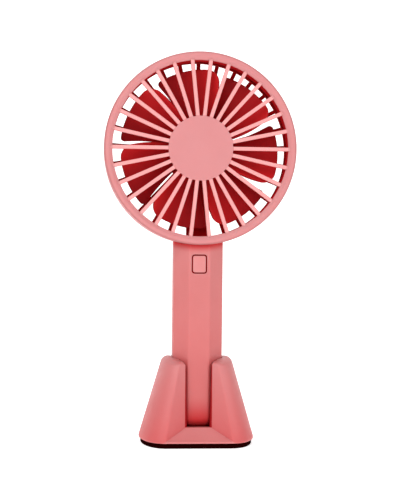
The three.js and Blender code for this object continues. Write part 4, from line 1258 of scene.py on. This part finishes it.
def standHollow(s, half, chamfer):
    # the space under the shell, less the socket's walls and the four screw posts
    skirtTop, under, wall = standLow[2] + s.skirt, s.seat - s.floor, s.socketWall
    levels = (standLow[2] - 1, skirtTop, s.lipTop - 1.6, s.seat + 4, s.hollowTop)
    outlines = [(z, standOutline(s, max(z, skirtTop), s.wall)) for z in levels]
    hollow = makePiece("hollowPart", lofted([[(x, y, z) for x, y in outline] for z, outline in outlines]))
    carve(hollow, prismZ(octagon(half + wall, chamfer + 0.9, 1.0), under, pastTop))
    slotWall = s.slotHalf + wall
    carve(hollow, block(-slotWall, slotWall, -30, 30, under, pastTop))
    for number in (1, 2, 3, 4):
        carve(hollow, roundPrism(f"stand_screw_{number}", s.post, 32, s.postFoot, pastTop))
    points = [tuple(c / mm for c in v.co) for v in hollow.data.vertices]
    faces = [list(p.vertices) for p in hollow.data.polygons]
    discard(hollow)
    return points, faces


def standSlot(s):
    # one half of the slot's outline, mirrored; its mouth opens out in a quarter round
    mouth = s.mouthRound
    centreZ = standHigh[2] - s.topFall - mouth + 0.4
    side = [(s.slotFoot, s.lipTop)]
    for sine, cosine in quarter(8):
        side.append((s.slotHalf + mouth * (1 - cosine), centreZ + mouth * sine))
    side.append((side[-1][0], pastTop))
    return prismY(side + [(-x, z) for x, z in reversed(side)], -30, 30)


def standBody(s):
    stand = makePiece("standBody", standOuter(s))
    half = handleHalf + s.clearance
    chamfer = handleShape.chamfer + (2 - math.sqrt(2)) * s.clearance
    socket = prismZ(octagon(half, chamfer, handleShape.edge + 0.2), s.seat, pastTop)
    carve(stand, standHollow(s, half, chamfer))
    for number in (1, 2, 3, 4):
        carve(stand, roundPrism(f"stand_screw_{number}", s.pilot, 16, 0, s.pilotTop))
    carve(stand, socket)
    carve(stand, standSlot(s))
    return softEdges(stand, s.softEdge, 3, 28)


padShape = Values(inset=0.9, edge=0.5)


def antiSlipPad(p):
    z = standLow[2]
    loops = []
    for sine, cosine in quarter(4):
        inset, up = p.inset + p.edge * (1 - sine), p.edge * (1 - cosine)
        loops.append([(x, y, up) for x, y in standOutline(standShape, z, inset)])
    loops.append([(x, y, padTop) for x, y in standOutline(standShape, z, p.inset)])
    return makePiece("antiSlipPad", lofted(loops))


standPlastic = mouldedPlastic("standPlastic", standLook, standPaintedShade, heightShade(standLowShade))
finishPiece(standBody(standShape), standPlastic, "shell", "stand", "stand_body")
finishPiece(antiSlipPad(padShape), padRubber, "pad", "stand", "anti_slip_pad")
print("stand made")


blackPlastic = grainy("blackPlastic", (0.012, 0.012, 0.014), (0.02, 0.02, 0.022), 0.45, 3000.0, 0.25, 0.03)
whiteNylon = grainy("whiteNylon", (0.78, 0.76, 0.70), (0.70, 0.68, 0.62), 0.42, 2200.0, 0.2, 0.03)
ferrite = grainy("ferrite", (0.045, 0.045, 0.05), (0.07, 0.068, 0.07), 0.6, 1800.0, 0.6, 0.05)
cellWrap = grainy("cellWrap", (0.03, 0.16, 0.42), (0.04, 0.19, 0.47), 0.28, 300.0, 0.25, 0.06)
wireRed = grainy("wireRed", (0.50, 0.012, 0.014), (0.42, 0.010, 0.012), 0.42, 1500.0, 0.2, 0.03)
wireBlack = grainy("wireBlack", (0.012, 0.012, 0.012), (0.022, 0.022, 0.022), 0.42, 1500.0, 0.2, 0.03)
foam = grainy("foam", (0.10, 0.10, 0.11), (0.16, 0.16, 0.17), 0.9, 1400.0, 0.9, 0.15)
clearPlastic = grainy("clearPlastic", (0.86, 0.86, 0.82), (0.80, 0.80, 0.76), 0.14, 900.0, 0.1, 0.02)
board = circuitBoard("board")

innerFinishes = (
    (shellPlastic, "stand_base_plate"),
    (platedSteel, "ballast_plate", "stand_screw_1", "stand_screw_2", "stand_screw_3", "stand_screw_4"),
    (platedSteel, "board_screw_1", "board_screw_2", "motor_screw_1", "motor_screw_2"),
    (platedSteel, "usb_shell", "motor_shaft"),
    (motorSteel, "motor_can", "armature_core"),
    (copperWire, "armature_coil_1", "armature_coil_2", "armature_coil_3", "commutator"),
    (bronzeBush, "motor_front_bush", "motor_rear_bush"),
    (nickelStrip, "battery_positive_cap", "battery_tab_positive", "battery_tab_negative"),
    (nickelStrip, "motor_terminal_positive", "motor_terminal_negative"),
    (ferrite, "motor_magnet_left", "motor_magnet_right"),
    (blackPlastic, "switch_case", "switch_plunger", "control_chip", "usb_tongue"),
    (whiteNylon, "motor_end_cap"),
    (board, "main_board"),
    (cellWrap, "battery_cell"),
    (wireRed, "lead_battery_positive", "lead_motor_positive"),
    (wireBlack, "lead_battery_negative", "lead_motor_negative"),
    (foam, "battery_foam"),
    (clearPlastic, "light_pipe", "charge_led"),
)
edgeSize = {"ballast_plate": 0.25, "stand_base_plate": 0.2, "battery_cell": 0.4, "light_pipe": 0.25}
for material, *innerNodes in innerFinishes:
    for node in innerNodes:
        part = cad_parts[node]
        part.data.materials.clear()
        part.data.materials.append(material)
        if "lead" not in node:
            softEdges(part, edgeSize.get(node, 0.08), 2, 42)
print("inner finishes set")


stageLook = Values(
    width=2.6,
    front=-1.6,
    back=0.9,
    sweep=0.5,
    height=1.6,
    colour=(0.92, 0.92, 0.92),
    glow=0.55,
)


def studioFloor(s):
    profile = [(s.front, 0.0), (s.back, 0.0)]
    for sine, cosine in quarter(16)[1:]:
        profile.append((s.back + s.sweep * sine, s.sweep * (1 - cosine)))
    profile.append((s.back + s.sweep, s.height))
    points = [(side * s.width / 2 / mm, y / mm, z / mm) for side in (-1, 1) for y, z in profile]
    count = len(profile)
    faces = [[i, i + 1, count + i + 1, count + i] for i in range(count - 1)]
    floor = makePiece("studioFloor", (points, faces))
    net = nodeTree("paper")
    shade(net, baseColor=s.colour, roughness=0.9, specularIORLevel=0.1)
    shade(net, emissionColor=(1.0, 1.0, 1.0), emissionStrength=s.glow)
    floor.data.materials.append(net.material)
    floor.data.shade_smooth()


studioFloor(stageLook)

lamps = {
    "keyLamp": {"at": (-0.55, -0.95, 0.85), "size": 0.9, "power": 8.0},
    "fillLamp": {"at": (0.75, -0.8, 0.35), "size": 0.9, "power": 2.9},
    "topLamp": {"at": (0.0, -0.1, 1.1), "size": 0.8, "power": 2.4},
}
for lampName, lamp in lamps.items():
    light = bpy.data.lights.new(lampName, "AREA")
    light.shape, light.size, light.energy = "SQUARE", lamp["size"], lamp["power"]
    lampObject = bpy.data.objects.new(lampName, light)
    lampObject.location = lamp["at"]
    aim = Vector((0, 0, 0.1)) - Vector(lamp["at"])
    lampObject.rotation_euler = aim.to_track_quat("-Z", "Y").to_euler()
    bpy.context.scene.collection.objects.link(lampObject)

world = bpy.data.worlds.new("studioAir")
world.use_nodes = True
world.node_tree.nodes["Background"].inputs["Color"].default_value = (1.0, 1.0, 1.0, 1)
world.node_tree.nodes["Background"].inputs["Strength"].default_value = 0.5
bpy.context.scene.world = world
bpy.context.scene.view_settings.view_transform = "Standard"

cameraLook = Values(
    distance=0.56,
    azimuth=-4.8,
    height=0.098,
    lens=82.8,
    roll=-0.6,
    shiftX=0.0047,
    shiftY=-0.0205,
)
c = cameraLook
turn = math.radians(c.azimuth)
back = Vector((math.sin(turn), -math.cos(turn), 0))
cameraData = bpy.data.cameras.new("camera")
cameraData.sensor_fit = "VERTICAL"
cameraData.sensor_height = 36.0
cameraData.lens = c.lens
cameraData.shift_x = c.shiftX
cameraData.shift_y = c.shiftY
camera = bpy.data.objects.new("camera", cameraData)
camera.location = back * c.distance + Vector((0, 0, c.height))
camera.rotation_euler = (math.radians(90), math.radians(c.roll), turn)
camera.rotation_mode = "XYZ"
bpy.context.scene.collection.objects.link(camera)
bpy.context.scene.camera = camera
print("stage, lights and camera set")
